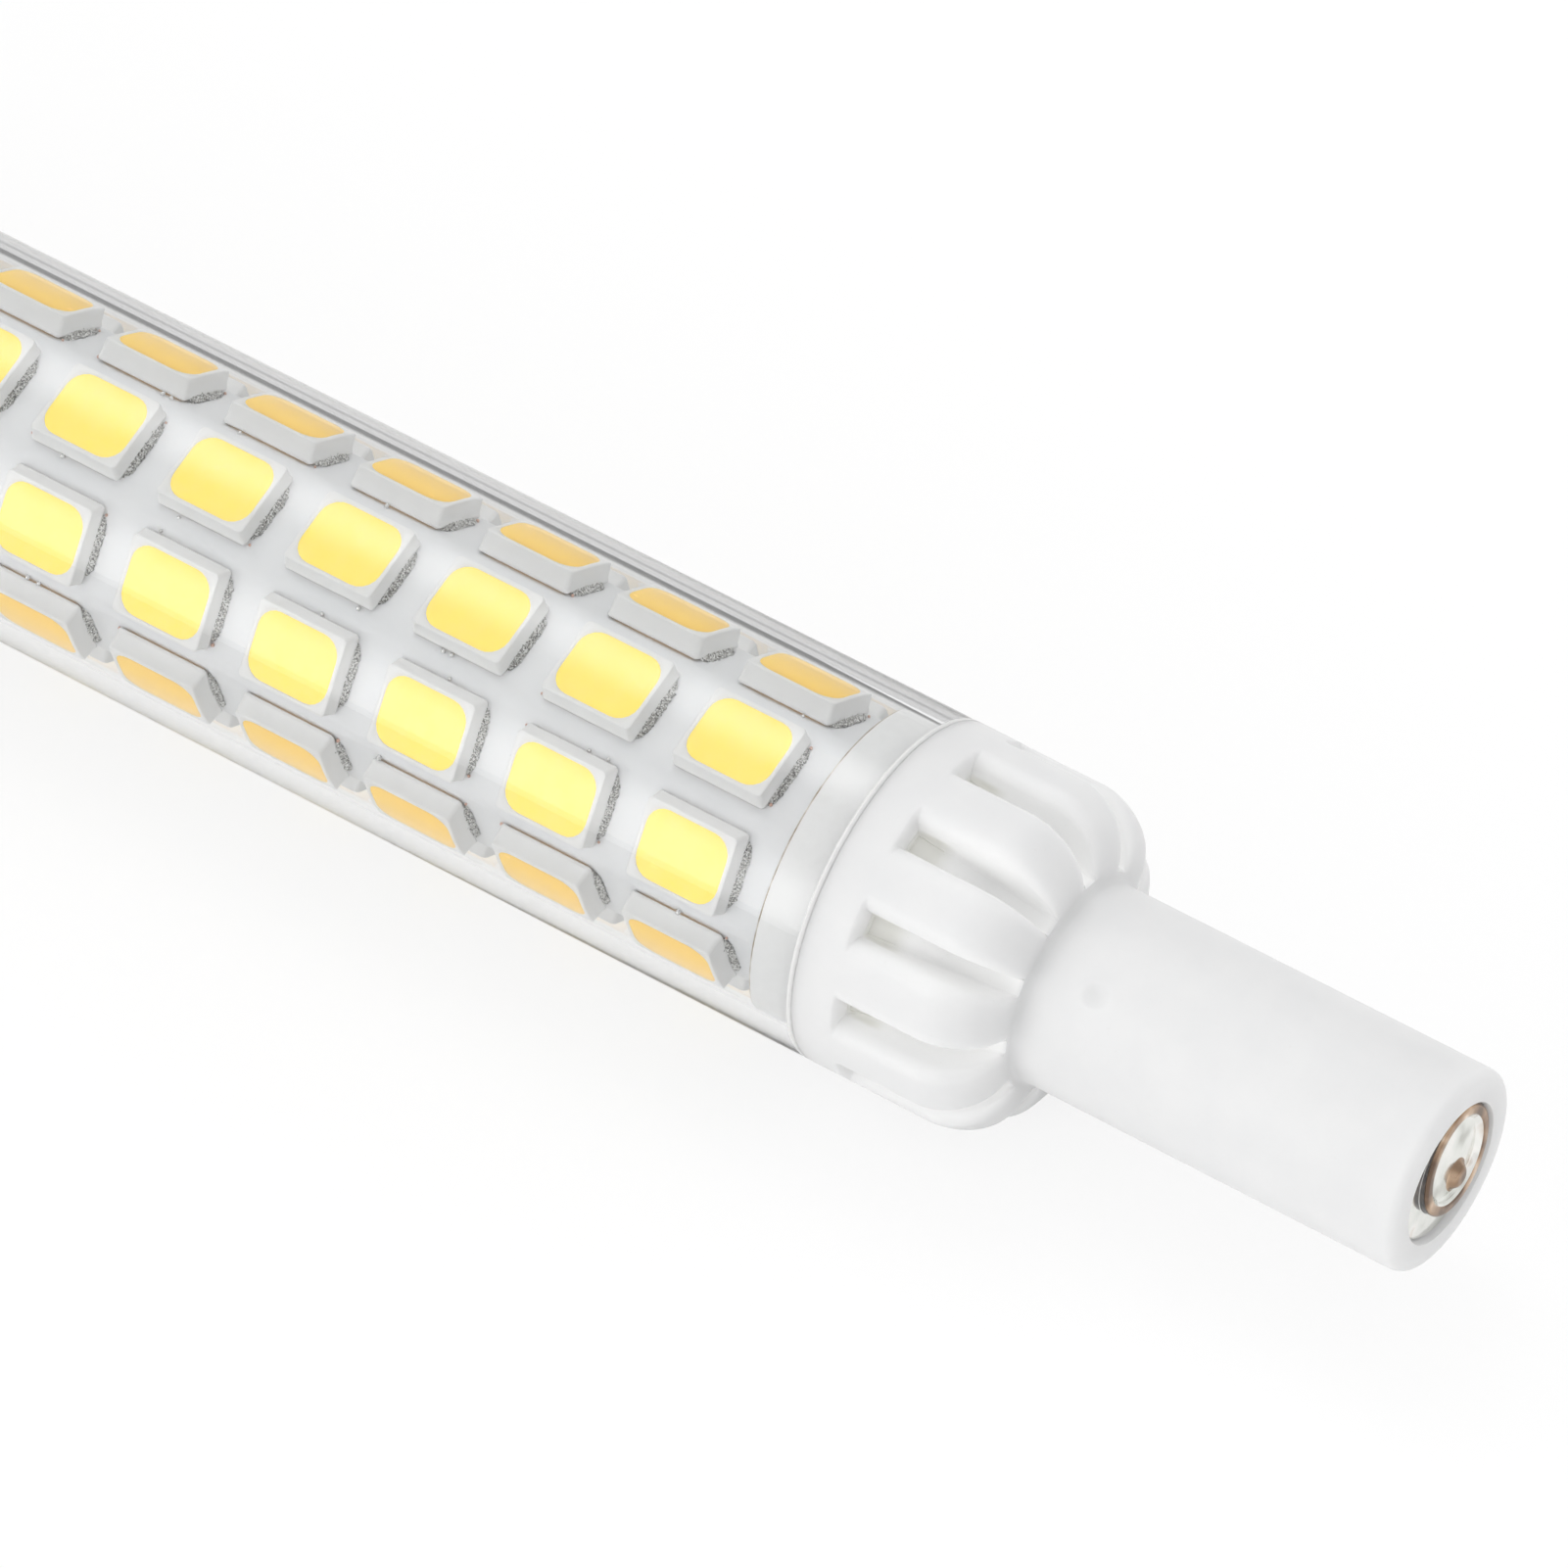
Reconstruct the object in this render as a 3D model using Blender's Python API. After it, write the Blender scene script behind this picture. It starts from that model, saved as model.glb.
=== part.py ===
"""A slim double-ended LED bulb: glass tube, rolled LED board and two ceramic end caps.

The bulb's axis is X, its middle is at the origin, and +Z is up as it lies. Lengths are in metres.
"""

import math

import bmesh
import bpy
from mathutils import Matrix, Vector

MM = 0.001

# Whole bulb
OVERALL_LENGTH = 117.6 * MM
TUBE_DIAMETER = 12.0 * MM
LYING_ROLL = math.radians(-14.7)
TURN = 2 * math.pi
ROUND_STEPS = 36
CUT_OVERRUN = 0.5 * MM

# Glass tube
GLASS_LENGTH = 75.6 * MM
GLASS_WALL = 0.6 * MM
GLASS_EDGE = 0.12 * MM
GLASS_STEPS = 48
JOINT_GAP = 0.1 * MM

# Light-emitting packages
LED_COLUMNS = 14
LED_LENGTH = 3.5 * MM
LED_WIDTH = 2.8 * MM
LED_HEIGHT = 0.85 * MM
LED_TAPER = 0.06 * MM
LED_RIM = 0.2 * MM
LED_CORNER = 0.6 * MM
LED_DISH = 0.08 * MM
LED_SINK = 0.1 * MM
LED_CLEARANCE = 0.09 * MM
LED_SPACING = 0.4 * MM

# Rolled board
BOARD_THICKNESS = 0.25 * MM
BOARD_MARGIN = 3.1 * MM
BOARD_SEAM = 0.5 * MM
BOARD_BEND = 0.56 * MM
BOARD_END_GAP = 0.15 * MM

# Ceramic end cap
SPIGOT_WALL = 1.0 * MM
CAVITY_DEPTH = 4.2 * MM
CAVITY_CONE = 1.6 * MM
BODY_LENGTH = 6.65 * MM
SHOULDER_STEPS = 4
ROOT_FILLET = 0.3 * MM
GROOVE_COUNT = 11
GROOVE_PHASE = math.radians(29.0)
GROOVE_START = 1.6 * MM
GROOVE_WIDTH = 1.0 * MM
GROOVE_DEPTH = 0.8 * MM
GROOVE_NOSE_DEPTH = 1.9 * MM
GROOVE_EDGE = 0.45 * MM
GROOVE_EDGE_STEPS = 2
VENT_INSET = 0.1 * MM
VENT_LENGTH = 0.9 * MM
POST_DIAMETER = 7.0 * MM
POST_EDGE = 0.4 * MM
DIMPLE_DIAMETER = 0.9 * MM
DIMPLE_DEPTH = 0.12 * MM
DIMPLE_DISTANCE = 2.25 * MM
DIMPLE_ANGLE = math.radians(-23.0)
DIMPLE_STEPS = 12

# Cement between the spigot and the glass
CEMENT_THICKNESS = 0.3 * MM
CEMENT_GAP = 0.05 * MM
CEMENT_STEPS = 24

# Contact button
CONTACT_PROUD = 0.1 * MM
CONTACT_RECESS = 0.35 * MM
RECESS_MOUTH_DIAMETER = 5.9 * MM
RECESS_FLOOR_DIAMETER = 5.5 * MM
CONTACT_SEAT_GAP = 0.05 * MM
FLANGE_DIAMETER = 5.3 * MM
FLANGE_THICKNESS = 0.16 * MM
RIM_DIAMETER = 4.1 * MM
RIM_FLAT = 0.22 * MM
RIM_ROUND = 0.08 * MM
RIM_SHIFT = 0.45 * MM
RIM_SHIFT_ANGLE = math.radians(68.0)
DISH_DEPTH = 0.28 * MM
DISH_FLOOR_DIAMETER = 2.6 * MM
NIPPLE_DIAMETER = 1.1 * MM
NIPPLE_HEIGHT = 0.22 * MM
SHANK_DIAMETER = 2.0 * MM
SHANK_LENGTH = 3.2 * MM
SHANK_CLEARANCE = 0.1 * MM
CONTACT_STEPS = 24

# Feed wire and its sleeve
WIRE_DIAMETER = 0.7 * MM
WIRE_CLEARANCE = 0.1 * MM
WIRE_IN_SHANK = 2.0 * MM
WIRE_STEPS = 8
WIRE_LAP = 2.0 * MM
WIRE_BEND = 1.5 * MM
WIRE_OVER_GAP = 0.25 * MM
SLEEVE_DIAMETER = 1.4 * MM
SLEEVE_LENGTH = 9.0 * MM
SLEEVE_STEPS = 12

# Driver board inside the roll
DRIVER_THICKNESS = 0.8 * MM
DRIVER_CLEARANCE = 0.12 * MM
DRIVER_LEFT_ROOM = 5.3 * MM
DRIVER_RIGHT_ROOM = 5.2 * MM
PART_GAP = 0.05 * MM
ROW_CLEARANCE = 0.2 * MM

# Shares of the roll's inner radius that the inside's heights and widths take
DRIVER_DROP_SHARE = 0.34
RECTIFIER_WIDTH_SHARE = 1.14
IC_WIDTH_SHARE = 0.94
LEAD_REACH_SHARE = 0.22
VARISTOR_WIDTH_SHARE = 0.97
RESISTOR_LENGTH_SHARE = 0.77
SENSE_SIDE_SHARE = 0.36
CAPACITOR_DIAMETER_SHARE = 1.2
LINK_SIDE_SHARE = 0.63

# Parts that stand in one row along the driver board
FUSE_BODY_LENGTH = 6.0 * MM
FUSE_BODY_DIAMETER = 2.3 * MM
FUSE_CAP_SWELL = 0.12 * MM
FUSE_CAP_LENGTH = 1.2 * MM
FUSE_LEAD_DIAMETER = 0.5 * MM
FUSE_LEAD_REACH = 1.4 * MM
VARISTOR_LENGTH = 5.0 * MM
VARISTOR_HEIGHT = 1.9 * MM
RECTIFIER_LENGTH = 4.0 * MM
RECTIFIER_HEIGHT = 2.3 * MM
IC_LENGTH = 4.9 * MM
IC_HEIGHT = 1.5 * MM
LEAD_WIDTH = 0.5 * MM
LEAD_THICKNESS = 0.2 * MM
LEAD_PITCH = 1.27 * MM
RECTIFIER_LEAD_PITCH = 2.5 * MM
RESISTOR_WIDTH = 1.6 * MM
RESISTOR_HEIGHT = 0.6 * MM
TERMINAL_LENGTH = 0.5 * MM
TERMINAL_STEP = 0.04 * MM
CAPACITOR_LENGTH = 11.0 * MM
CAPACITOR_GAP = 1.2 * MM
CAPACITOR_CRIMP = 1.4 * MM
CAPACITOR_GROOVE = 0.3 * MM
CAPACITOR_EDGE = 0.4 * MM
CAPACITOR_LEAD_DIAMETER = 0.5 * MM
CAPACITOR_LEAD_SIDE = 1.0 * MM
CAPACITOR_LEAD_LAP = 2.0 * MM
CAPACITOR_STEPS = 16

# Leads from the driver board to the rolled board
LINK_DIAMETER = 0.4 * MM
LINK_RISE = 1.0 * MM
LINK_RUN = 3.0 * MM
LINK_INSET = 1.0 * MM

# Places worked out from the values above
OUTER_RADIUS = TUBE_DIAMETER / 2
GLASS_INNER_RADIUS = OUTER_RADIUS - GLASS_WALL
JOINT_X = GLASS_LENGTH / 2 + JOINT_GAP
TIP_X = OVERALL_LENGTH / 2 - CONTACT_PROUD
TIP_Z = TIP_X - JOINT_X
LED_TOP_HALF_WIDTH = LED_WIDTH / 2 - LED_TAPER
LED_TOP_RADIUS = math.sqrt((GLASS_INNER_RADIUS - LED_CLEARANCE) ** 2 - LED_TOP_HALF_WIDTH ** 2)
LED_FOOT_RADIUS = LED_TOP_RADIUS - LED_HEIGHT
LED_ROWS = int(TURN * LED_FOOT_RADIUS / (LED_WIDTH + LED_SPACING))
BOARD_OUTER_RADIUS = LED_FOOT_RADIUS + LED_SINK
BOARD_INNER_RADIUS = BOARD_OUTER_RADIUS - BOARD_THICKNESS
LED_PITCH = GLASS_LENGTH / (LED_COLUMNS + 1)
BOARD_HALF_LENGTH = (LED_COLUMNS - 1) * LED_PITCH / 2 + BOARD_MARGIN
SPIGOT_RADIUS = GLASS_INNER_RADIUS - CEMENT_THICKNESS - 2 * CEMENT_GAP
CAVITY_RADIUS = SPIGOT_RADIUS - SPIGOT_WALL
POST_RADIUS = POST_DIAMETER / 2
SHOULDER_RADIUS = OUTER_RADIUS - POST_RADIUS - ROOT_FILLET
BORE_RADIUS = SHANK_DIAMETER / 2 + SHANK_CLEARANCE
VARISTOR_WIDTH = VARISTOR_WIDTH_SHARE * BOARD_INNER_RADIUS
RECTIFIER_WIDTH = RECTIFIER_WIDTH_SHARE * BOARD_INNER_RADIUS
IC_WIDTH = IC_WIDTH_SHARE * BOARD_INNER_RADIUS
LEAD_REACH = LEAD_REACH_SHARE * BOARD_INNER_RADIUS
RESISTOR_LENGTH = RESISTOR_LENGTH_SHARE * BOARD_INNER_RADIUS
SENSE_SIDE = SENSE_SIDE_SHARE * BOARD_INNER_RADIUS
CAPACITOR_DIAMETER = CAPACITOR_DIAMETER_SHARE * BOARD_INNER_RADIUS
LINK_SIDE = LINK_SIDE_SHARE * BOARD_INNER_RADIUS
DRIVER_TOP = -DRIVER_DROP_SHARE * BOARD_INNER_RADIUS
DRIVER_BOTTOM = DRIVER_TOP - DRIVER_THICKNESS
DRIVER_HALF_WIDTH = math.sqrt((BOARD_INNER_RADIUS - DRIVER_CLEARANCE) ** 2 - DRIVER_BOTTOM ** 2)
DRIVER_LEFT = DRIVER_LEFT_ROOM - BOARD_HALF_LENGTH
DRIVER_RIGHT = BOARD_HALF_LENGTH - DRIVER_RIGHT_ROOM - CAPACITOR_LENGTH - CAPACITOR_GAP
PART_FLOOR = DRIVER_TOP + PART_GAP
CAPACITOR_HEIGHT = PART_FLOOR + CAPACITOR_LEAD_DIAMETER / 2
SHANK_END_X = TIP_X - CONTACT_RECESS - SHANK_LENGTH
WIRE_END_X = SHANK_END_X + WIRE_IN_SHANK
WIRE_REST = PART_FLOOR + WIRE_DIAMETER / 2


def clear_scene():
    for obj in list(bpy.data.objects):
        bpy.data.objects.remove(obj, do_unlink=True)


def material(name, color, roughness, metallic=0.0, transmission=0.0):
    made = bpy.data.materials.new(name)
    made.use_nodes = True
    made.diffuse_color = (*color, 1.0)
    shader = made.node_tree.nodes["Principled BSDF"]
    shader.inputs["Base Color"].default_value = (*color, 1.0)
    shader.inputs["Roughness"].default_value = roughness
    shader.inputs["Metallic"].default_value = metallic
    shader.inputs["Transmission Weight"].default_value = transmission
    return made


def new_mesh(name, bm, materials=()):
    """Closes the working mesh into mesh data with its faces pointing out."""
    bmesh.ops.recalc_face_normals(bm, faces=bm.faces)
    mesh = bpy.data.meshes.new(name)
    bm.to_mesh(mesh)
    bm.free()
    for made in materials:
        mesh.materials.append(made)
    return mesh


def place(name, mesh, parent, location=(0, 0, 0), rotation=(0, 0, 0), sharp_degrees=35):
    mesh.shade_smooth()
    mesh.set_sharp_from_angle(angle=math.radians(sharp_degrees))
    obj = bpy.data.objects.new(name, mesh)
    bpy.context.scene.collection.objects.link(obj)
    obj.parent = parent
    obj.location = location
    obj.rotation_euler = rotation
    return obj


def combined(mesh, other, operation):
    """The mesh joined with, or cut by, another closed mesh in the same place."""
    body = bpy.data.objects.new("body", mesh)
    tool = bpy.data.objects.new("tool", other)
    tool.hide_render = True
    tool.display_type = "WIRE"
    for obj in (body, tool):
        bpy.context.scene.collection.objects.link(obj)
    boolean = body.modifiers.new("combine", "BOOLEAN")
    boolean.solver = "EXACT"
    boolean.operation = operation
    boolean.object = tool
    graph = bpy.context.evaluated_depsgraph_get()
    made = bpy.data.meshes.new_from_object(body.evaluated_get(graph))
    made.name = mesh.name
    for obj in (body, tool):
        bpy.data.objects.remove(obj, do_unlink=True)
    return made


def add_turned(bm, profile, steps, closed=False):
    """Turns a profile of (x, radius) points about X; a point may add the y and z of its ring's middle."""
    rings = []
    for x, radius, *shift in profile:
        y, z = shift or (0, 0)
        if radius == 0:
            rings.append([bm.verts.new((x, y, z))])
            continue
        ring = []
        for k in range(steps):
            angle = TURN * k / steps
            ring.append(bm.verts.new((x, y + radius * math.sin(angle), z + radius * math.cos(angle))))
        rings.append(ring)
    pairs = list(zip(rings, rings[1:]))
    if closed:
        pairs.append((rings[-1], rings[0]))
    for near, far in pairs:
        for k in range(steps):
            after = k + 1
            corners = [near[k % len(near)], near[after % len(near)], far[after % len(far)], far[k % len(far)]]
            bm.faces.new(list(dict.fromkeys(corners)))


def turned_mesh(name, profile, steps, materials=(), closed=False):
    bm = bmesh.new()
    add_turned(bm, profile, steps, closed)
    return new_mesh(name, bm, materials)


def arc(middle_x, middle_r, radius, start, end, steps):
    """Points of a round stretch of a profile, with angles from the X direction towards the radius."""
    angles = [start + (end - start) * k / steps for k in range(steps + 1)]
    return [(middle_x + radius * math.cos(a), middle_r + radius * math.sin(a)) for a in angles]


def add_loft(bm, sections):
    """Skins a row of like outlines and closes both ends."""
    rows = [[bm.verts.new(point) for point in section] for section in sections]
    count = len(rows[0])
    for near, far in zip(rows, rows[1:]):
        for k in range(count):
            bm.faces.new((near[k], near[(k + 1) % count], far[(k + 1) % count], far[k]))
    bm.faces.new(rows[0])
    bm.faces.new(rows[-1])


def add_box(bm, low, high):
    outline = [(low[1], low[2]), (high[1], low[2]), (high[1], high[2]), (low[1], high[2])]
    add_loft(bm, [[(x, y, z) for y, z in outline] for x in (low[0], high[0])])


def add_tube(bm, path, radius, steps):
    """A round wire along a path of points, square to it and mitred at its bends."""
    points = [Vector(point) for point in path]
    runs = [(b - a).normalized() for a, b in zip(points, points[1:])]
    side = runs[0].orthogonal().normalized()
    sections = []
    for index, point in enumerate(points):
        before = runs[max(index - 1, 0)]
        after = runs[min(index, len(runs) - 1)]
        mitre = (before + after).normalized()
        side = (side - before * side.dot(before)).normalized()
        other = before.cross(side)
        ring = []
        for k in range(steps):
            angle = TURN * k / steps
            spoke = side * math.cos(angle) * radius + other * math.sin(angle) * radius
            ring.append(point + spoke - before * (spoke.dot(mitre) / before.dot(mitre)))
        sections.append(ring)
        side = side - after * side.dot(after)
    add_loft(bm, sections)


# Glass


def glass_profile():
    half, edge = GLASS_LENGTH / 2, GLASS_EDGE
    outer, inner = OUTER_RADIUS, GLASS_INNER_RADIUS
    right = [(half - edge, outer), (half, outer - edge), (half, inner + edge), (half - edge, inner)]
    left = [(-x, radius) for x, radius in reversed(right)]
    return right + left


def build_glass(parent):
    glass = material("clear glass", (0.9, 0.93, 0.94), 0.03, transmission=1.0)
    place("glass_tube", turned_mesh("glass_tube", glass_profile(), GLASS_STEPS, (glass,), True), parent)


# Rolled board with its packages


def rectangle(length, width, height, corner=0):
    """Eight corner points of a rectangle with cut corners, or four points where there is no cut."""
    x, y = length / 2, width / 2
    if not corner:
        return [(-x, -y, height), (x, -y, height), (x, y, height), (-x, y, height)]
    cut_x, cut_y = x - corner, y - corner
    return [
        (-cut_x, -y, height), (cut_x, -y, height), (x, -cut_y, height), (x, cut_y, height),
        (cut_x, y, height), (-cut_x, y, height), (-x, cut_y, height), (-x, -cut_y, height),
    ]


def add_package(bm, where, phosphor_index):
    """One package: a slightly tapered cup with a sunk window whose corners are cut."""
    top_length, top_width = LED_LENGTH - 2 * LED_TAPER, LED_WIDTH - 2 * LED_TAPER
    window_length, window_width = top_length - 2 * LED_RIM, top_width - 2 * LED_RIM
    outlines = [
        rectangle(LED_LENGTH, LED_WIDTH, 0),
        rectangle(top_length, top_width, LED_HEIGHT),
        rectangle(window_length, window_width, LED_HEIGHT, LED_CORNER),
        rectangle(window_length, window_width, LED_HEIGHT - LED_DISH, LED_CORNER),
    ]
    rings = [[bm.verts.new(where @ Vector(point)) for point in outline] for outline in outlines]
    foot, top, rim, floor = rings
    bm.faces.new(foot)
    for near, far in ((foot, top), (rim, floor)):
        count = len(near)
        for k in range(count):
            bm.faces.new((near[k], near[(k + 1) % count], far[(k + 1) % count], far[k]))
    for k in range(len(top)):
        after = (k + 1) % len(top)
        bm.faces.new((top[k], top[after], rim[2 * k + 1], rim[2 * k]))
        bm.faces.new((top[after], rim[(2 * k + 2) % len(rim)], rim[2 * k + 1]))
    bm.faces.new(floor).material_index = phosphor_index


def roll_mesh(materials):
    """The board rolled into a tube: flat under each row, bent between rows, open along one seam."""
    step = TURN / LED_ROWS
    first = LED_ROWS // 2 + 1 - LED_ROWS
    along = Vector((BOARD_HALF_LENGTH, 0, 0))
    bm = bmesh.new()
    sections = []
    for row in range(first, first + LED_ROWS):
        for side, at_seam in ((-1, row == first), (1, row == first + LED_ROWS - 1)):
            gap = BOARD_SEAM if at_seam else BOARD_BEND
            off = step / 2 - gap / BOARD_OUTER_RADIUS / 2
            angle = row * step + side * off
            out = Vector((0, math.sin(angle), math.cos(angle))) / math.cos(off)
            outer, inner = out * BOARD_OUTER_RADIUS, out * BOARD_INNER_RADIUS
            sections.append([outer - along, outer + along, inner + along, inner - along])
    add_loft(bm, sections)
    return new_mesh("led_board", bm, materials)


def build_board(parent):
    materials = (
        material("white board", (0.78, 0.79, 0.8), 0.55),
        material("phosphor", (0.95, 0.78, 0.2), 0.5),
    )
    bm = bmesh.new()
    for row in range(LED_ROWS):
        turn = Matrix.Rotation(-TURN * row / LED_ROWS, 4, "X")
        for column in range(LED_COLUMNS):
            x = (column - (LED_COLUMNS - 1) / 2) * LED_PITCH
            add_package(bm, turn @ Matrix.Translation((x, 0, LED_FOOT_RADIUS)), 1)
    packages = new_mesh("packages", bm, materials)
    place("led_board", combined(roll_mesh(materials), packages, "UNION"), parent)


# Ceramic end cap, in its own frame: X runs from the joint towards the tip


def shoulder_points():
    """The rounded nose of the cap's body, from its full radius down to the post."""
    middle_x = BODY_LENGTH - SHOULDER_RADIUS
    middle_r = OUTER_RADIUS - SHOULDER_RADIUS
    return arc(middle_x, middle_r, SHOULDER_RADIUS, math.pi / 2, 0, SHOULDER_STEPS)


def cap_profile():
    spigot_end = BOARD_HALF_LENGTH + BOARD_END_GAP - JOINT_X
    cavity_end = CAVITY_DEPTH + CAVITY_CONE
    floor_x = TIP_Z - CONTACT_RECESS
    post_edge = arc(TIP_Z - POST_EDGE, POST_RADIUS - POST_EDGE, POST_EDGE, math.pi / 2, 0, 3)
    return [
        (spigot_end, CAVITY_RADIUS),
        (spigot_end, SPIGOT_RADIUS),
        (0, SPIGOT_RADIUS),
        (0, OUTER_RADIUS),
        *shoulder_points(),
        (BODY_LENGTH, POST_RADIUS + ROOT_FILLET),
        (BODY_LENGTH + ROOT_FILLET, POST_RADIUS),
        *post_edge,
        (TIP_Z, RECESS_MOUTH_DIAMETER / 2),
        (floor_x, RECESS_FLOOR_DIAMETER / 2),
        (floor_x, BORE_RADIUS),
        (cavity_end, BORE_RADIUS),
        (CAVITY_DEPTH, CAVITY_RADIUS),
    ]


def groove_floor(x):
    """The radius of a groove's floor, which sinks from the blind end to the nose."""
    along = (x - GROOVE_START) / (BODY_LENGTH - GROOVE_START)
    return OUTER_RADIUS - GROOVE_DEPTH - (GROOVE_NOSE_DEPTH - GROOVE_DEPTH) * along


def groove_section(x, radius):
    """The cutter's outline across one groove where the cap has this radius, for petals with rounded edges."""
    half = GROOVE_WIDTH / 2
    floor = groove_floor(x)
    edge = min(GROOVE_EDGE, max(radius - floor, 0))
    side = [(half + edge + CUT_OVERRUN, radius + CUT_OVERRUN)]
    for k in range(GROOVE_EDGE_STEPS, -1, -1):
        angle = math.pi / 2 * k / GROOVE_EDGE_STEPS
        side.append((half + edge - edge * math.cos(angle), radius - edge + edge * math.sin(angle)))
    side.append((half, floor))
    outline = side + [(-across, height) for across, height in reversed(side)]
    points = []
    for across, height in outline:
        angle = across / OUTER_RADIUS
        points.append((x, height * math.sin(angle), height * math.cos(angle)))
    return points


def groove_mesh():
    """All the grooves' cutters, each lofted along the body and over its shoulder."""
    stations = [(GROOVE_START, OUTER_RADIUS)]
    stations += [(x, radius) for x, radius in shoulder_points() if radius > groove_floor(x) + GROOVE_EDGE]
    stations.append((BODY_LENGTH + CUT_OVERRUN, groove_floor(BODY_LENGTH)))
    sections = [groove_section(x, radius) for x, radius in stations]
    bm = bmesh.new()
    for groove in range(GROOVE_COUNT):
        turn = Matrix.Rotation(-GROOVE_PHASE - TURN * groove / GROOVE_COUNT, 4, "X")
        add_loft(bm, [[turn @ Vector(point) for point in section] for section in sections])
    return new_mesh("grooves", bm)


def vent_mesh():
    """The openings from each groove's blind end into the cap's hollow."""
    bm = bmesh.new()
    half = GROOVE_WIDTH / 2 - VENT_INSET
    start = GROOVE_START + VENT_INSET
    bottom, top = CAVITY_RADIUS - CUT_OVERRUN, groove_floor(start) + VENT_INSET
    for groove in range(GROOVE_COUNT):
        turn = Matrix.Rotation(-GROOVE_PHASE - TURN * groove / GROOVE_COUNT, 4, "X")
        outline = [(-half, bottom), (half, bottom), (half, top), (-half, top)]
        ends = (start, start + VENT_LENGTH)
        add_loft(bm, [[turn @ Vector((x, y, z)) for y, z in outline] for x in ends])
    return new_mesh("vents", bm)


def dimple_mesh():
    """A shallow ball-shaped mark in the post's side."""
    half = DIMPLE_DIAMETER / 2
    radius = (half ** 2 + DIMPLE_DEPTH ** 2) / (2 * DIMPLE_DEPTH)
    bm = bmesh.new()
    bmesh.ops.create_uvsphere(bm, u_segments=DIMPLE_STEPS, v_segments=DIMPLE_STEPS, radius=radius)
    height = POST_RADIUS - DIMPLE_DEPTH + radius
    turn = Matrix.Rotation(-DIMPLE_ANGLE, 4, "X")
    where = turn @ Matrix.Translation((BODY_LENGTH + DIMPLE_DISTANCE, 0, height))
    bmesh.ops.transform(bm, matrix=where, verts=bm.verts)
    return new_mesh("dimple", bm)


def build_caps(parent):
    ceramic = material("white ceramic", (0.86, 0.87, 0.87), 0.5)
    mesh = turned_mesh("end_cap", cap_profile(), ROUND_STEPS, (ceramic,), True)
    for cutter in (groove_mesh(), vent_mesh(), dimple_mesh()):
        mesh = combined(mesh, cutter, "DIFFERENCE")
    for name, side in (("end_cap_right", 0), ("end_cap_left", math.pi)):
        place(name, mesh, parent, (JOINT_X * math.cos(side), 0, 0), (0, 0, side))


def build_cement(parent):
    cement = material("white cement", (0.82, 0.82, 0.8), 0.8)
    outer = GLASS_INNER_RADIUS - CEMENT_GAP
    inner = SPIGOT_RADIUS + CEMENT_GAP
    start = BOARD_HALF_LENGTH + BOARD_END_GAP - JOINT_X
    profile = [(start, inner), (start, outer), (-JOINT_GAP, outer), (-JOINT_GAP, inner)]
    mesh = turned_mesh("cement_ring", profile, CEMENT_STEPS, (cement,), True)
    for name, side in (("cement_ring_right", 0), ("cement_ring_left", math.pi)):
        place(name, mesh, parent, (JOINT_X * math.cos(side), 0, 0), (0, 0, side))


# Contact button, in its own frame: X runs out of the bulb from the recess floor


def contact_profile():
    """Shank with the wire's hole, flange, off-centre pressed rim, dish and centre nipple."""
    shift_y = RIM_SHIFT * math.sin(RIM_SHIFT_ANGLE)
    shift_z = RIM_SHIFT * math.cos(RIM_SHIFT_ANGLE)
    hole = WIRE_DIAMETER / 2 + WIRE_CLEARANCE
    back, front = CONTACT_SEAT_GAP, CONTACT_RECESS + CONTACT_PROUD
    flange, rim = FLANGE_DIAMETER / 2, RIM_DIAMETER / 2
    waist = back + FLANGE_THICKNESS
    floor = front - DISH_DEPTH
    return [
        (-SHANK_LENGTH + WIRE_IN_SHANK + WIRE_CLEARANCE, 0),
        (-SHANK_LENGTH + WIRE_IN_SHANK + WIRE_CLEARANCE, hole),
        (-SHANK_LENGTH, hole),
        (-SHANK_LENGTH, SHANK_DIAMETER / 2),
        (back, SHANK_DIAMETER / 2),
        (back, flange),
        (waist, flange),
        (waist + RIM_ROUND, rim, shift_y, shift_z),
        (front - RIM_ROUND, rim, shift_y, shift_z),
        (front, rim - RIM_ROUND, shift_y, shift_z),
        (front, rim - RIM_ROUND - RIM_FLAT, shift_y, shift_z),
        (floor, DISH_FLOOR_DIAMETER / 2, shift_y, shift_z),
        (floor, NIPPLE_DIAMETER / 2, shift_y, shift_z),
        (floor + NIPPLE_HEIGHT, 0, shift_y, shift_z),
    ]


def build_contacts(parent):
    nickel = material("nickel plate", (0.72, 0.68, 0.62), 0.18, metallic=1.0)
    mesh = turned_mesh("contact", contact_profile(), CONTACT_STEPS, (nickel,))
    seat = TIP_X - CONTACT_RECESS
    for name, side in (("contact_right", 0), ("contact_left", math.pi)):
        place(name, mesh, parent, (seat * math.cos(side), 0, 0), (0, 0, side))


# Wires


def right_wire_path():
    """From the right shank over the capacitor and down between its leads."""
    high = CAPACITOR_HEIGHT + CAPACITOR_DIAMETER / 2 + WIRE_DIAMETER / 2 + WIRE_OVER_GAP
    far = DRIVER_RIGHT + CAPACITOR_GAP + CAPACITOR_LENGTH + WIRE_OVER_GAP
    return [
        (WIRE_END_X, 0, 0), (far + 2 * WIRE_BEND, 0, 0), (far + WIRE_BEND, 0, high),
        (DRIVER_RIGHT + CAPACITOR_GAP / 2, 0, high), (DRIVER_RIGHT - WIRE_LAP / 2, 0, WIRE_REST),
        (DRIVER_RIGHT - WIRE_LAP, 0, WIRE_REST),
    ]


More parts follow.
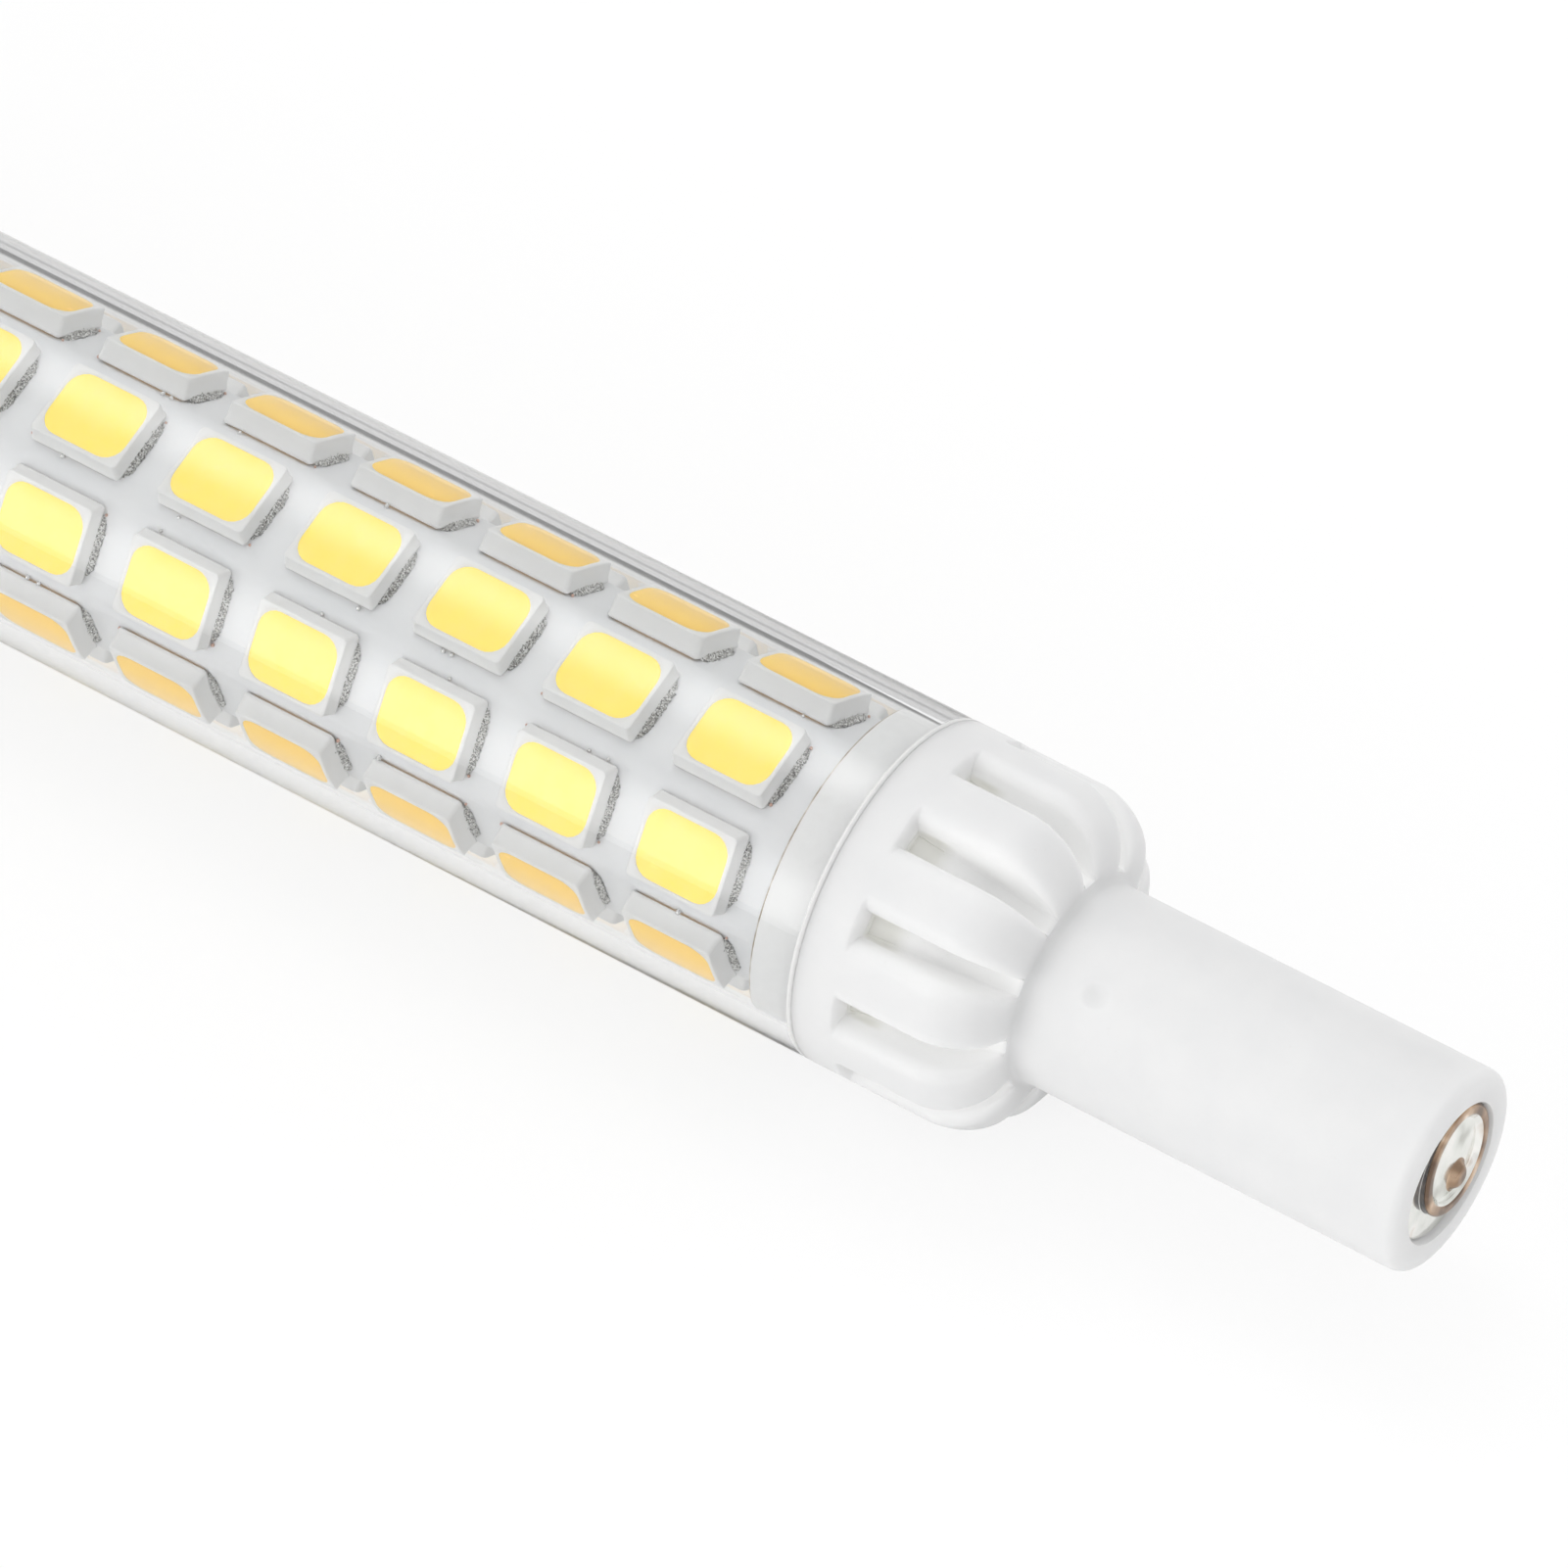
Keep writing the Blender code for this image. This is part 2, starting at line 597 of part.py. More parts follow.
def left_wire_path():
    """From the left shank straight down onto the board's end."""
    return [
        (-WIRE_END_X, 0, 0), (DRIVER_LEFT - 2 * WIRE_BEND, 0, 0),
        (DRIVER_LEFT, 0, WIRE_REST), (DRIVER_LEFT + WIRE_LAP, 0, WIRE_REST),
    ]


def build_feed_wires(parent):
    tinned = material("tinned copper", (0.75, 0.72, 0.66), 0.3, metallic=1.0)
    for name, path in (("feed_wire_right", right_wire_path()), ("feed_wire_left", left_wire_path())):
        bm = bmesh.new()
        add_tube(bm, path, WIRE_DIAMETER / 2, WIRE_STEPS)
        place(name, new_mesh(name, bm, (tinned,)), parent)


def build_sleeves(parent):
    """A woven insulating sleeve on each feed wire where it leaves the post's bore."""
    woven = material("glass fibre sleeve", (0.85, 0.84, 0.78), 0.9)
    inner = WIRE_DIAMETER / 2 + WIRE_CLEARANCE
    outer = SLEEVE_DIAMETER / 2
    end = SHANK_END_X - WIRE_CLEARANCE
    profile = [(end - SLEEVE_LENGTH, inner), (end - SLEEVE_LENGTH, outer), (end, outer), (end, inner)]
    mesh = turned_mesh("wire_sleeve", profile, SLEEVE_STEPS, (woven,), True)
    for name, side in (("wire_sleeve_right", 0), ("wire_sleeve_left", math.pi)):
        place(name, mesh, parent, rotation=(0, 0, side))


def build_links(parent):
    """The two leads that join the driver board to the rolled board's left end."""
    colors = {"link_wire_plus": (0.7, 0.08, 0.06), "link_wire_minus": (0.05, 0.05, 0.06)}
    rest = PART_FLOOR + LINK_DIAMETER / 2
    for (name, color), side in zip(colors.items(), (1, -1)):
        start = DRIVER_LEFT + LINK_INSET
        end = start - LINK_RUN
        across = side * LINK_SIDE
        path = [(start, across, rest), (start - LINK_INSET, across, rest), (end, across, rest + LINK_RISE)]
        bm = bmesh.new()
        add_tube(bm, path, LINK_DIAMETER / 2, WIRE_STEPS)
        place(name, new_mesh(name, bm, (material(name, color, 0.5),)), parent)


# Driver board and its parts


def build_driver_board(parent):
    laminate = material("green laminate", (0.05, 0.25, 0.12), 0.5)
    bm = bmesh.new()
    low = (DRIVER_LEFT, -DRIVER_HALF_WIDTH, DRIVER_BOTTOM)
    high = (DRIVER_RIGHT, DRIVER_HALF_WIDTH, DRIVER_TOP)
    add_box(bm, low, high)
    place("driver_board", new_mesh("driver_board", bm, (laminate,)), parent)


def row_places():
    """Each part's middle along the driver board, in a row with like gaps between the wires' laps."""
    lengths = {
        "fuse": FUSE_BODY_LENGTH + 2 * FUSE_LEAD_REACH + FUSE_LEAD_DIAMETER,
        "varistor": VARISTOR_LENGTH,
        "rectifier": RECTIFIER_LENGTH,
        "bleed": RESISTOR_WIDTH,
        "first_ic": IC_LENGTH,
        "second_ic": IC_LENGTH,
        "sense": RESISTOR_LENGTH,
    }
    start = DRIVER_LEFT + WIRE_LAP + ROW_CLEARANCE
    end = DRIVER_RIGHT - WIRE_LAP - ROW_CLEARANCE
    gap = (end - start - sum(lengths.values())) / (len(lengths) - 1)
    places = {}
    for name, length in lengths.items():
        places[name] = start + length / 2
        start += length + gap
    return places


def chip_mesh(name, size, leads, pitch, color):
    """A moulded package whose sides slope to its middle, with flat feet along both long sides."""
    length, width, height = size
    moulded = material(name, color, 0.45)
    slope = LEAD_THICKNESS / 2
    bm = bmesh.new()
    outlines = []
    for z, inset in ((LEAD_THICKNESS / 2, slope), (height / 2, 0), (height, slope)):
        outlines.append(rectangle(length - 2 * inset, width - 2 * inset, z))
    add_loft(bm, outlines)
    body = new_mesh(name, bm, (moulded,))
    bm = bmesh.new()
    for side in (-1, 1):
        for k in range(leads):
            x = (k - (leads - 1) / 2) * pitch
            ends = sorted((side * (width / 2 - LEAD_REACH), side * (width / 2 + LEAD_REACH)))
            add_box(bm, (x - LEAD_WIDTH / 2, ends[0], 0), (x + LEAD_WIDTH / 2, ends[1], LEAD_THICKNESS))
    return combined(body, new_mesh("feet", bm, (moulded,)), "UNION")


def terminal_mesh(name, size, color):
    """A block part with a slightly thicker metal terminal at each end."""
    length, width, height = size
    stations = (
        (0, 0), (TERMINAL_LENGTH, 0), (TERMINAL_LENGTH, TERMINAL_STEP),
        (length - TERMINAL_LENGTH, TERMINAL_STEP), (length - TERMINAL_LENGTH, 0), (length, 0),
    )
    bm = bmesh.new()
    sections = []
    for distance, inset in stations:
        x, y = distance - length / 2, width / 2 - inset
        low, high = inset, height - inset
        sections.append([(x, -y, low), (x, y, low), (x, y, high), (x, -y, high)])
    add_loft(bm, sections)
    return new_mesh(name, bm, (material(name, color, 0.5),))


def build_chips(parent):
    black = (0.03, 0.03, 0.035)
    places = row_places()
    size = (RECTIFIER_LENGTH, RECTIFIER_WIDTH, RECTIFIER_HEIGHT)
    rectifier = chip_mesh("bridge_rectifier", size, 2, RECTIFIER_LEAD_PITCH, black)
    place("bridge_rectifier", rectifier, parent, (places["rectifier"], 0, PART_FLOOR))
    driver = chip_mesh("driver_ic", (IC_LENGTH, IC_WIDTH, IC_HEIGHT), 4, LEAD_PITCH, black)
    for name, spot in (("driver_ic_1", "first_ic"), ("driver_ic_2", "second_ic")):
        place(name, driver, parent, (places[spot], 0, PART_FLOOR))


def build_small_parts(parent):
    places = row_places()
    varistor_size = (VARISTOR_LENGTH, VARISTOR_WIDTH, VARISTOR_HEIGHT)
    varistor = terminal_mesh("varistor", varistor_size, (0.1, 0.12, 0.2))
    place("varistor", varistor, parent, (places["varistor"], 0, PART_FLOOR))
    resistor_size = (RESISTOR_LENGTH, RESISTOR_WIDTH, RESISTOR_HEIGHT)
    resistor = terminal_mesh("resistor", resistor_size, (0.08, 0.08, 0.09))
    for name, side in (("sense_resistor_1", -1), ("sense_resistor_2", 1)):
        place(name, resistor, parent, (places["sense"], side * SENSE_SIDE, PART_FLOOR))
    place("bleed_resistor", resistor, parent, (places["bleed"], 0, PART_FLOOR), (0, 0, math.pi / 2))


def build_fuse(parent):
    """A fusible resistor: a round body between two pressed caps, with leads bent down to the board."""
    enamel = material("fuse_resistor", (0.3, 0.45, 0.4), 0.6)
    half, radius = FUSE_BODY_LENGTH / 2, FUSE_BODY_DIAMETER / 2
    cap, swell = FUSE_CAP_LENGTH, FUSE_CAP_SWELL
    wide = radius + swell
    right = [(half - cap, radius), (half - cap + swell, wide), (half - swell, wide), (half, radius)]
    left = [(-x, r) for x, r in reversed(right)]
    body = turned_mesh("fuse_resistor", [(-half, 0), *left, *right, (half, 0)], CAPACITOR_STEPS, (enamel,))
    drop = wide - FUSE_LEAD_DIAMETER / 2
    reach = half + FUSE_LEAD_REACH
    path = [
        (-reach, 0, -drop), (-reach, 0, 0), (-half + cap, 0, 0),
        (half - cap, 0, 0), (reach, 0, 0), (reach, 0, -drop),
    ]
    bm = bmesh.new()
    add_tube(bm, path, FUSE_LEAD_DIAMETER / 2, WIRE_STEPS)
    mesh = combined(body, new_mesh("leads", bm, (enamel,)), "UNION")
    place("fuse_resistor", mesh, parent, (row_places()["fuse"], 0, PART_FLOOR + wide))


def build_capacitor(parent):
    """The smoothing capacitor in line with the driver board, its two leads lapped onto it."""
    sleeve = material("smoothing_capacitor", (0.05, 0.07, 0.12), 0.35)
    radius, edge = CAPACITOR_DIAMETER / 2, CAPACITOR_EDGE
    crimp, groove = CAPACITOR_CRIMP, CAPACITOR_GROOVE
    profile = [
        (0, 0), (0, radius - edge), (edge, radius), (crimp - groove, radius), (crimp, radius - groove),
        (crimp + groove, radius), (CAPACITOR_LENGTH - edge, radius),
        (CAPACITOR_LENGTH, radius - edge), (CAPACITOR_LENGTH, 0),
    ]
    body = turned_mesh("smoothing_capacitor", profile, CAPACITOR_STEPS, (sleeve,))
    bm = bmesh.new()
    for side in (-1, 1):
        across = side * CAPACITOR_LEAD_SIDE
        path = [(-CAPACITOR_GAP - CAPACITOR_LEAD_LAP, across, 0), (crimp, across, 0)]
        add_tube(bm, path, CAPACITOR_LEAD_DIAMETER / 2, WIRE_STEPS)
    mesh = combined(body, new_mesh("leads", bm, (sleeve,)), "UNION")
    place("smoothing_capacitor", mesh, parent, (DRIVER_RIGHT + CAPACITOR_GAP, 0, CAPACITOR_HEIGHT))


def main():
    clear_scene()
    axis = bpy.data.objects.new("bulb_axis", None)
    bpy.context.scene.collection.objects.link(axis)
    axis.rotation_euler.x = -LYING_ROLL
    builders = (
        build_glass, build_board, build_caps, build_cement, build_contacts, build_feed_wires, build_sleeves,
        build_links, build_driver_board, build_chips, build_small_parts, build_fuse, build_capacitor,
    )
    for build in builders:
        build(axis)


main()
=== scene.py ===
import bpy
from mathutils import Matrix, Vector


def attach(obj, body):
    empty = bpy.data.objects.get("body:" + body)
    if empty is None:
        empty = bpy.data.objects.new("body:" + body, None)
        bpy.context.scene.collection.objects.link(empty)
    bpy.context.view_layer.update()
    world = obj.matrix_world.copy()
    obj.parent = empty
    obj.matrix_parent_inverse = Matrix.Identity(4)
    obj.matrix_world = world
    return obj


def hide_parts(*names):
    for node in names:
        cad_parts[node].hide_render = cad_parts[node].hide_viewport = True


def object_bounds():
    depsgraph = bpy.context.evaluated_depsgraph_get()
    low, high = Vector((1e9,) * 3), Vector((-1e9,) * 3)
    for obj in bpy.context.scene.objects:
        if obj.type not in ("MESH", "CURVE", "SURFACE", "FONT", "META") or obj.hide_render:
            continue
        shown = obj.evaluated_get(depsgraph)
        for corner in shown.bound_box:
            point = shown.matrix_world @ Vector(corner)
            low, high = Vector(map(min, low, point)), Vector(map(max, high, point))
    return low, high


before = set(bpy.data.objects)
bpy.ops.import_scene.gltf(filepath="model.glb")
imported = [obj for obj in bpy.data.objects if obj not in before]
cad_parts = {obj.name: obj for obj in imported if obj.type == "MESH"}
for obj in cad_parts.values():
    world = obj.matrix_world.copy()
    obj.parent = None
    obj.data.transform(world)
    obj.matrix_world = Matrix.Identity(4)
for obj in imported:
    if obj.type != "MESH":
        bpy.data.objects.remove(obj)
CAD_BOX = [list(corner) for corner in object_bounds()]

import math

import bpy
import numpy as np
from mathutils import Matrix, Vector

MM = 0.001
TURN = 2 * math.pi
BODY = "root"
LYING_ROLL = math.radians(-14.7)

# Millimetres within which two lengths count as one
HAIR = 0.01

# Angles in degrees past which a piece's edge stays sharp
EDGE_ANGLE = 35
CAP_EDGE_ANGLE = 50
CONTACT_EDGE_ANGLE = 60

# Camera, solved from the photograph in millimetres, with X right, Y down and Z away
PHOTO_WIDTH = 1601
SENSOR_WIDTH = 36.0
FOCAL_PIXELS = 13000.0
AXIS_DIP = math.radians(22.28)
AXIS_SLOPE = math.radians(26.88)
LAST_COLUMN = (-0.642, 1.282, 405.88)
CLIP_START = 0.01
CLIP_END = 100.0

# Glass tube in millimetres. What is drawn stays a skin inside the part's box
BULB_R = 6.0
SKIN = 0.001
TUBE_R = BULB_R - SKIN
GLASS_WALL = 0.6
GLASS_LENGTH = 75.6
GLASS_INNER = BULB_R - GLASS_WALL
GLASS_SEGMENTS = 256
DRAWN_FROM = 0.6
DRAWN_TO = 0.2
DRAWN_BY = 0.012
JOINT_GAP = 0.1
JOINT_X = GLASS_LENGTH / 2 + JOINT_GAP

# Light packages, as in the part's source
COLUMNS = 14
ROWS = 8
PITCH = GLASS_LENGTH / (COLUMNS + 1)
LED_LENGTH = 3.5
LED_WIDTH = 2.8
LED_HEIGHT = 0.85
LED_TAPER = 0.06
LED_RIM = 0.15
LED_CORNER = 0.68
LED_SINK = 0.1
LED_CLEARANCE = 0.09
LED_TOP = LED_HEIGHT - LED_SINK
LED_TOP_R = math.sqrt((GLASS_INNER - LED_CLEARANCE) ** 2 - (LED_WIDTH / 2 - LED_TAPER) ** 2)
CORNER_STEPS = 5
OUTLINE_POINTS = 4 * (CORNER_STEPS + 1)

# Cup and window. A bevel is (wider, lower) than the cup's top, a lip (wider, rounder, lower) than its window
CUP_FOOT = 0.07
CUP_FOOT_SLOPE = 0.03
CUP_FOOT_EDGE = 0.08
CUP_BOTTOM = (0.5, 0.3)
CUP_BOTTOM_CORNERS = (0.10, 0.12)
CUP_LEDGE = 0.2
CUP_LEDGE_SLOPE = 0.025
CUP_LEDGE_EDGE = 0.05
CUP_CORNER = 0.14
CUP_TOP_CORNER = 0.16
CUP_BEVELS = ((0.015, 0.05), (-0.01, 0.014), (-0.06, 0.0))
CUP_LIPS = ((0.03, 0.02, 0.0), (0.0, 0.0, 0.01), (-0.05, -0.02, 0.06))
WINDOW_RINGS = 5
WINDOW_REACH = 0.9
WINDOW_SINK = 0.02
WINDOW_DISH = 0.035

# Rolled board, as in the part's source
BOARD_THICKNESS = 0.25
BOARD_MARGIN = 3.1
BOARD_SEAM = 0.5
BOARD_BEND = 0.56
BOARD_END_GAP = 0.15
BOARD_R = LED_TOP_R - LED_HEIGHT + LED_SINK
BOARD_HALF = (COLUMNS - 1) * PITCH / 2 + BOARD_MARGIN
BARE_EDGE = 0.1
FLAT_POINTS = 7
BEND_STEPS = 7

# Solder along a package's ends, with its beads and flecks
SOLDER_HALF = 1.18
SOLDER_OUT = 0.25
SOLDER_HEIGHT = 0.17
SOLDER_FOOT = 0.02
SOLDER_INSIDE = (0.03, 0.1)
SOLDER_COLUMNS = 34
SOLDER_RISE = 6
SOLDER_LUMPS = (0.018, 0.024)
SOLDER_SHORTEST = 0.88
SOLDER_END_SHARE = 0.15
SOLDER_END_POWER = 6
SOLDER_HOLLOW = 1.5
BEAD_CHANCE = 0.75
BEAD_R = (0.06, 0.095)
BEAD_ALONG = 1.5
BEAD_ASIDE = (0.03, 0.12)
BEAD_SEGMENTS = 8
BEAD_RINGS = 5
BEAD_RISE = 0.6
FLECK_CHANCE = 0.6
FLECK_R = (0.04, 0.07)
FLECK_OUT = 0.08
FLECK_ASIDE = (1.05, 1.25)

# Ceramic cap, measured from the joint
TIP_X = 58.7
TIP_Z = TIP_X - JOINT_X
CEMENT_THICKNESS = 0.3
CEMENT_GAP = 0.05
SPIGOT_R = GLASS_INNER - CEMENT_THICKNESS - 2 * CEMENT_GAP
SPIGOT_EDGE = 0.15
SPIGOT_END = BOARD_HALF + BOARD_END_GAP - JOINT_X
CAVITY_R = SPIGOT_R - 1.0
CAVITY_DEPTH = 4.2
CAVITY_CONE = 1.6
BODY_LENGTH = 6.65
JOINT_EDGE_RINGS = ((0.0, 0.04), (0.012, 0.012), (0.04, 0.0))
POST_R = 3.5
POST_EDGE = 0.4
ROOT_FILLET = 0.3
SHOULDER_R = BULB_R - POST_R - ROOT_FILLET
GROOVES = 11
GROOVE_PITCH = TURN * BULB_R / GROOVES
GROOVE_PHASE = math.radians(29.0)
GROOVE_START = 1.6
GROOVE_HALF = 0.5
GROOVE_DEPTH = 0.8
GROOVE_NOSE_DEPTH = 2.2
GROOVE_EDGE = 0.55
GROOVE_END_EDGE = 0.18
GROOVE_FILLET = 0.16
GROOVE_BLEND = 0.2
POCKET_START = GROOVE_START + 0.1
POCKET_END = POCKET_START + 0.9
POCKET_DEPTH = 0.05
DIMPLE_R = 0.45
DIMPLE_DEPTH = 0.12
DIMPLE_X = BODY_LENGTH + 2.25
DIMPLE_ANGLE = math.radians(-23.0)
BORE_R = 1.1

# Painted shade in the vents at the grooves' blind ends, as (none here, full here): radii, and places past the
# groove's start
VENT_SHADE_R = (5.35, 5.15)
VENT_SHADE_START = (-0.1, 0.1)
VENT_SHADE_END = (1.5, 0.7)

# The cap mesh's columns across a groove and rings along X, which stand close together where it bends
GROOVE_FLOOR_PLACES = (0.0, 0.2)
GROOVE_FILLET_PLACES = (-0.005, 0.005, 0.04, 0.075)
GROOVE_CREASE = 0.003
GROOVE_EDGE_STEPS = 8
PETAL_PLACES = (1.1, 1.3, 1.5)
RINGS_BEFORE_GROOVE = (0.6, 1.2, 1.44, 1.47, 1.5, 1.53, 1.56, 1.585)
GROOVE_WALL = 0.01
POCKET_WALL = 0.004
RINGS_AFTER_VENT = (2.9, 3.3, 3.8)
SHOULDER_STEPS = 26
FILLET_STEPS = 5
DIMPLE_RINGS = (7.4, 10.6, 0.12)
POST_RINGS = (12.0, 16.0)
EDGE_STEPS = 6

# The recess is drawn a little deeper and narrower than the part's, as in the photograph
CONTACT_RECESS = 0.42
RECESS_MOUTH_R = 2.47
RECESS_FLOOR_R = 2.44
RECESS_EDGE = (0.02, 0.06)
RECESS_FILLET = (0.04, 0.05)

# Cement at the joint, whose skirt covers the glass's end
CEMENT_CORNER = 0.08
STAIN_LENGTH = 0.09
STAIN_DEPTH = 0.12
GLUE_R = BULB_R - 0.002
GLUE_GAP = 0.006
SKIRT_LENGTH = 0.08
SKIRT_FALL = 0.02
SKIRT_UNDER = 0.0095
SKIRT_EDGE = 0.002
TURNED_SEGMENTS = 144

# Button contact, measured from the recess's floor. The pressed rim lies off the middle and leans
FLANGE_BACK = 0.05
FLANGE_THICKNESS = 0.12
FLANGE_R = 2.38
FLANGE_STEP_R = 2.3
CONTACT_BELOW = 0.03
DISH_DEPTH = 0.2
DISH_R = 1.38
RIM_FOOT_R = 2.0
RIM_SINK = 0.02
RIM_R = 1.92
RIM_INNER_R = 1.58
RIM_BEVEL = 0.12
RIM_WALL_TOP = 0.15
RIM_PLACE = (0.49, 0.04)
RIM_LEAN = math.tan(math.radians(3.5))
LEAN_SIDE = (0.69, 0.72)
LEAN_RISE = 0.1
NIPPLE_OFFSET = (-0.12, -0.84)
NIPPLE_BASE_R = 0.52
NIPPLE_R = 0.3
NIPPLE_HEIGHT = 0.26
FLANGE_ROUNDINGS = (0, 0, 0.04, 0.06, 0, 0.05, 0.05, 0)
RIM_ROUNDINGS = (0, 0.05, 0.12, 0.14, 0.06, 0.12, 0.12, 0.2, 0)
SHANK_START = -3.2
SHANK_R = 1.0
SHANK_HOLE_R = 0.45
SHANK_HOLE_DEPTH = 2.2
AXIS_R = 0.001
CONTACT_SEGMENTS = 128
BROWN_PAST_RIM = (0.02, 0.04)
BROWN_PAST_NIPPLE = 0.1
SHADE_INSIDE_RIM = 0.005

# Woven sleeve, from one thread to the next
WEAVE_PITCH = 0.35

# Light: an even part, and softboxes as (angle round X from +Z to +Y, inner and outer half width, strength).
# Angles are in degrees. The middle, inner and outer half length along X are shares of the sky's direction
EVEN_LIGHT = 0.90
SOFTBOXES = ((-74.0, 6.0, 34.0, 2.5), (16.0, 1.0, 24.0, 2.4))
SOFTBOX_ALONG = (-0.38, 0.16, 0.42)

# Floor in metres: how white it shows to a kind of ray, as (ray, share, glow)
FLOOR_HALF = 30.0
FLOOR_TINT = 0.93
FLOOR_GLOWS = (("Is Camera Ray", 0.82, 1.0), ("Is Transmission Ray", 0.85, 0.92))

# Cards on the floor in metres, seen only through the glass, which paint shade into its edge, as (name, near
# edge, far edge, right edge, shade)
CARD_LEFT = -0.13
CARD_LIFT = 0.00005
CARDS = (
    ("black_card", 0.040, 0.075, 0.016, 0.02),
    ("line_card", 0.022, 0.026, 0.05, 0.28),
    ("grey_card", 0.026, 0.040, 0.05, 0.5),
    ("near_card", 0.009, 0.022, 0.05, 0.55),
)

rng = np.random.default_rng(7)


# Meshes. Points are in millimetres in the bulb's own frame, which lies rolled about X


def to_world(points):
    """Millimetres in the bulb's frame to metres in the row's frame."""
    points = np.asarray(points, float) * MM
    c, s = math.cos(-LYING_ROLL), math.sin(-LYING_ROLL)
    x, y, z = points[:, 0], points[:, 1], points[:, 2]
    return np.stack([x, y * c - z * s, y * s + z * c], axis=1)


def add_piece(name, points, faces, materials, face_materials=None, sharp=None, depth=None):
    """A smooth mesh, with edges over the sharp angle kept, and how deep each point lies in a groove."""
    mesh = bpy.data.meshes.new(name)
    mesh.from_pydata(to_world(points).tolist(), [], [tuple(map(int, face)) for face in faces])
    if sum(face.area * face.normal.dot(face.center) for face in mesh.polygons) < 0:
        mesh.flip_normals()
    for made in materials:
        mesh.materials.append(made)
    if face_materials is not None:
        mesh.polygons.foreach_set("material_index", np.asarray(face_materials, np.int32))
    mesh.shade_smooth()
    if sharp is not None:
        mesh.set_sharp_from_angle(angle=math.radians(sharp))
    if depth is not None:
        values = mesh.attributes.new("depth", "FLOAT", "POINT").data
        values.foreach_set("value", np.asarray(depth, np.float32))
    mesh.update()
    piece = bpy.data.objects.new(name, mesh)
    bpy.context.scene.collection.objects.link(piece)
    return piece


def grid_faces(rows, columns, around=True, along=False, start=0):
    """Quads between rows of points that follow each other, with the row or the column direction closed."""
    faces = []
    for i in range(rows if along else rows - 1):
        near, far = start + i * columns, start + (i + 1) % rows * columns
        for j in range(columns if around else columns - 1):
            after = (j + 1) % columns
            faces.append((near + j, near + after, far + after, far + j))
    return faces


def rounded(points, radii, steps):
    """A profile with its corners rounded: each corner of radius over zero becomes an arc."""
    made = []
    last_point = len(points) - 1
    for k, (point, radius) in enumerate(zip(points, radii)):
        if not radius or k in (0, last_point):
            made.append(tuple(point))
            continue
        here = np.array(point, float)
        before, after = np.array(points[k - 1], float) - here, np.array(points[k + 1], float) - here
        before, after = before / np.linalg.norm(before), after / np.linalg.norm(after)
        half = math.acos(np.clip(before @ after, -1, 1)) / 2
        reach = radius / math.tan(half)
        middle = here + (before + after) / np.linalg.norm(before + after) * radius / math.sin(half)
        first, last = here + before * reach - middle, here + after * reach - middle
        start = math.atan2(first[1], first[0])
        sweep = (math.atan2(last[1], last[0]) - start + math.pi) % TURN - math.pi
        for i in range(steps + 1):
            angle = start + sweep * i / steps
            made.append((middle[0] + radius * math.cos(angle), middle[1] + radius * math.sin(angle)))
    return made


def lathe(profile, segments, closed=False, shift=None):
    """Points and faces of a profile of (x, radius) turned about X. shift gives each point's ring middle."""
    angles = np.arange(segments) * TURN / segments
    points = []
    for k, (x, radius) in enumerate(profile):
        y, z = shift[k] if shift else (0.0, 0.0)
        across, up = y + radius * np.sin(angles), z + radius * np.cos(angles)
        points.append(np.stack([np.full(segments, x), across, up], axis=1))
    return np.concatenate(points), grid_faces(len(profile), segments, True, closed)


def end_pieces(name, points, faces, materials, node, at=0.0, slot=None, **options):
    """The right piece and the left one, which is the same turned half round Z."""
    for side, end in ((1, "right"), (-1, "left")):
        moved = (np.asarray(points) + (at, 0, 0)) * (side, side, 1)
        piece = add_piece(f"{name}_{end}", moved, faces, materials, **options)
        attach(piece, BODY)
        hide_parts(f"{node}_{end}")


# Materials


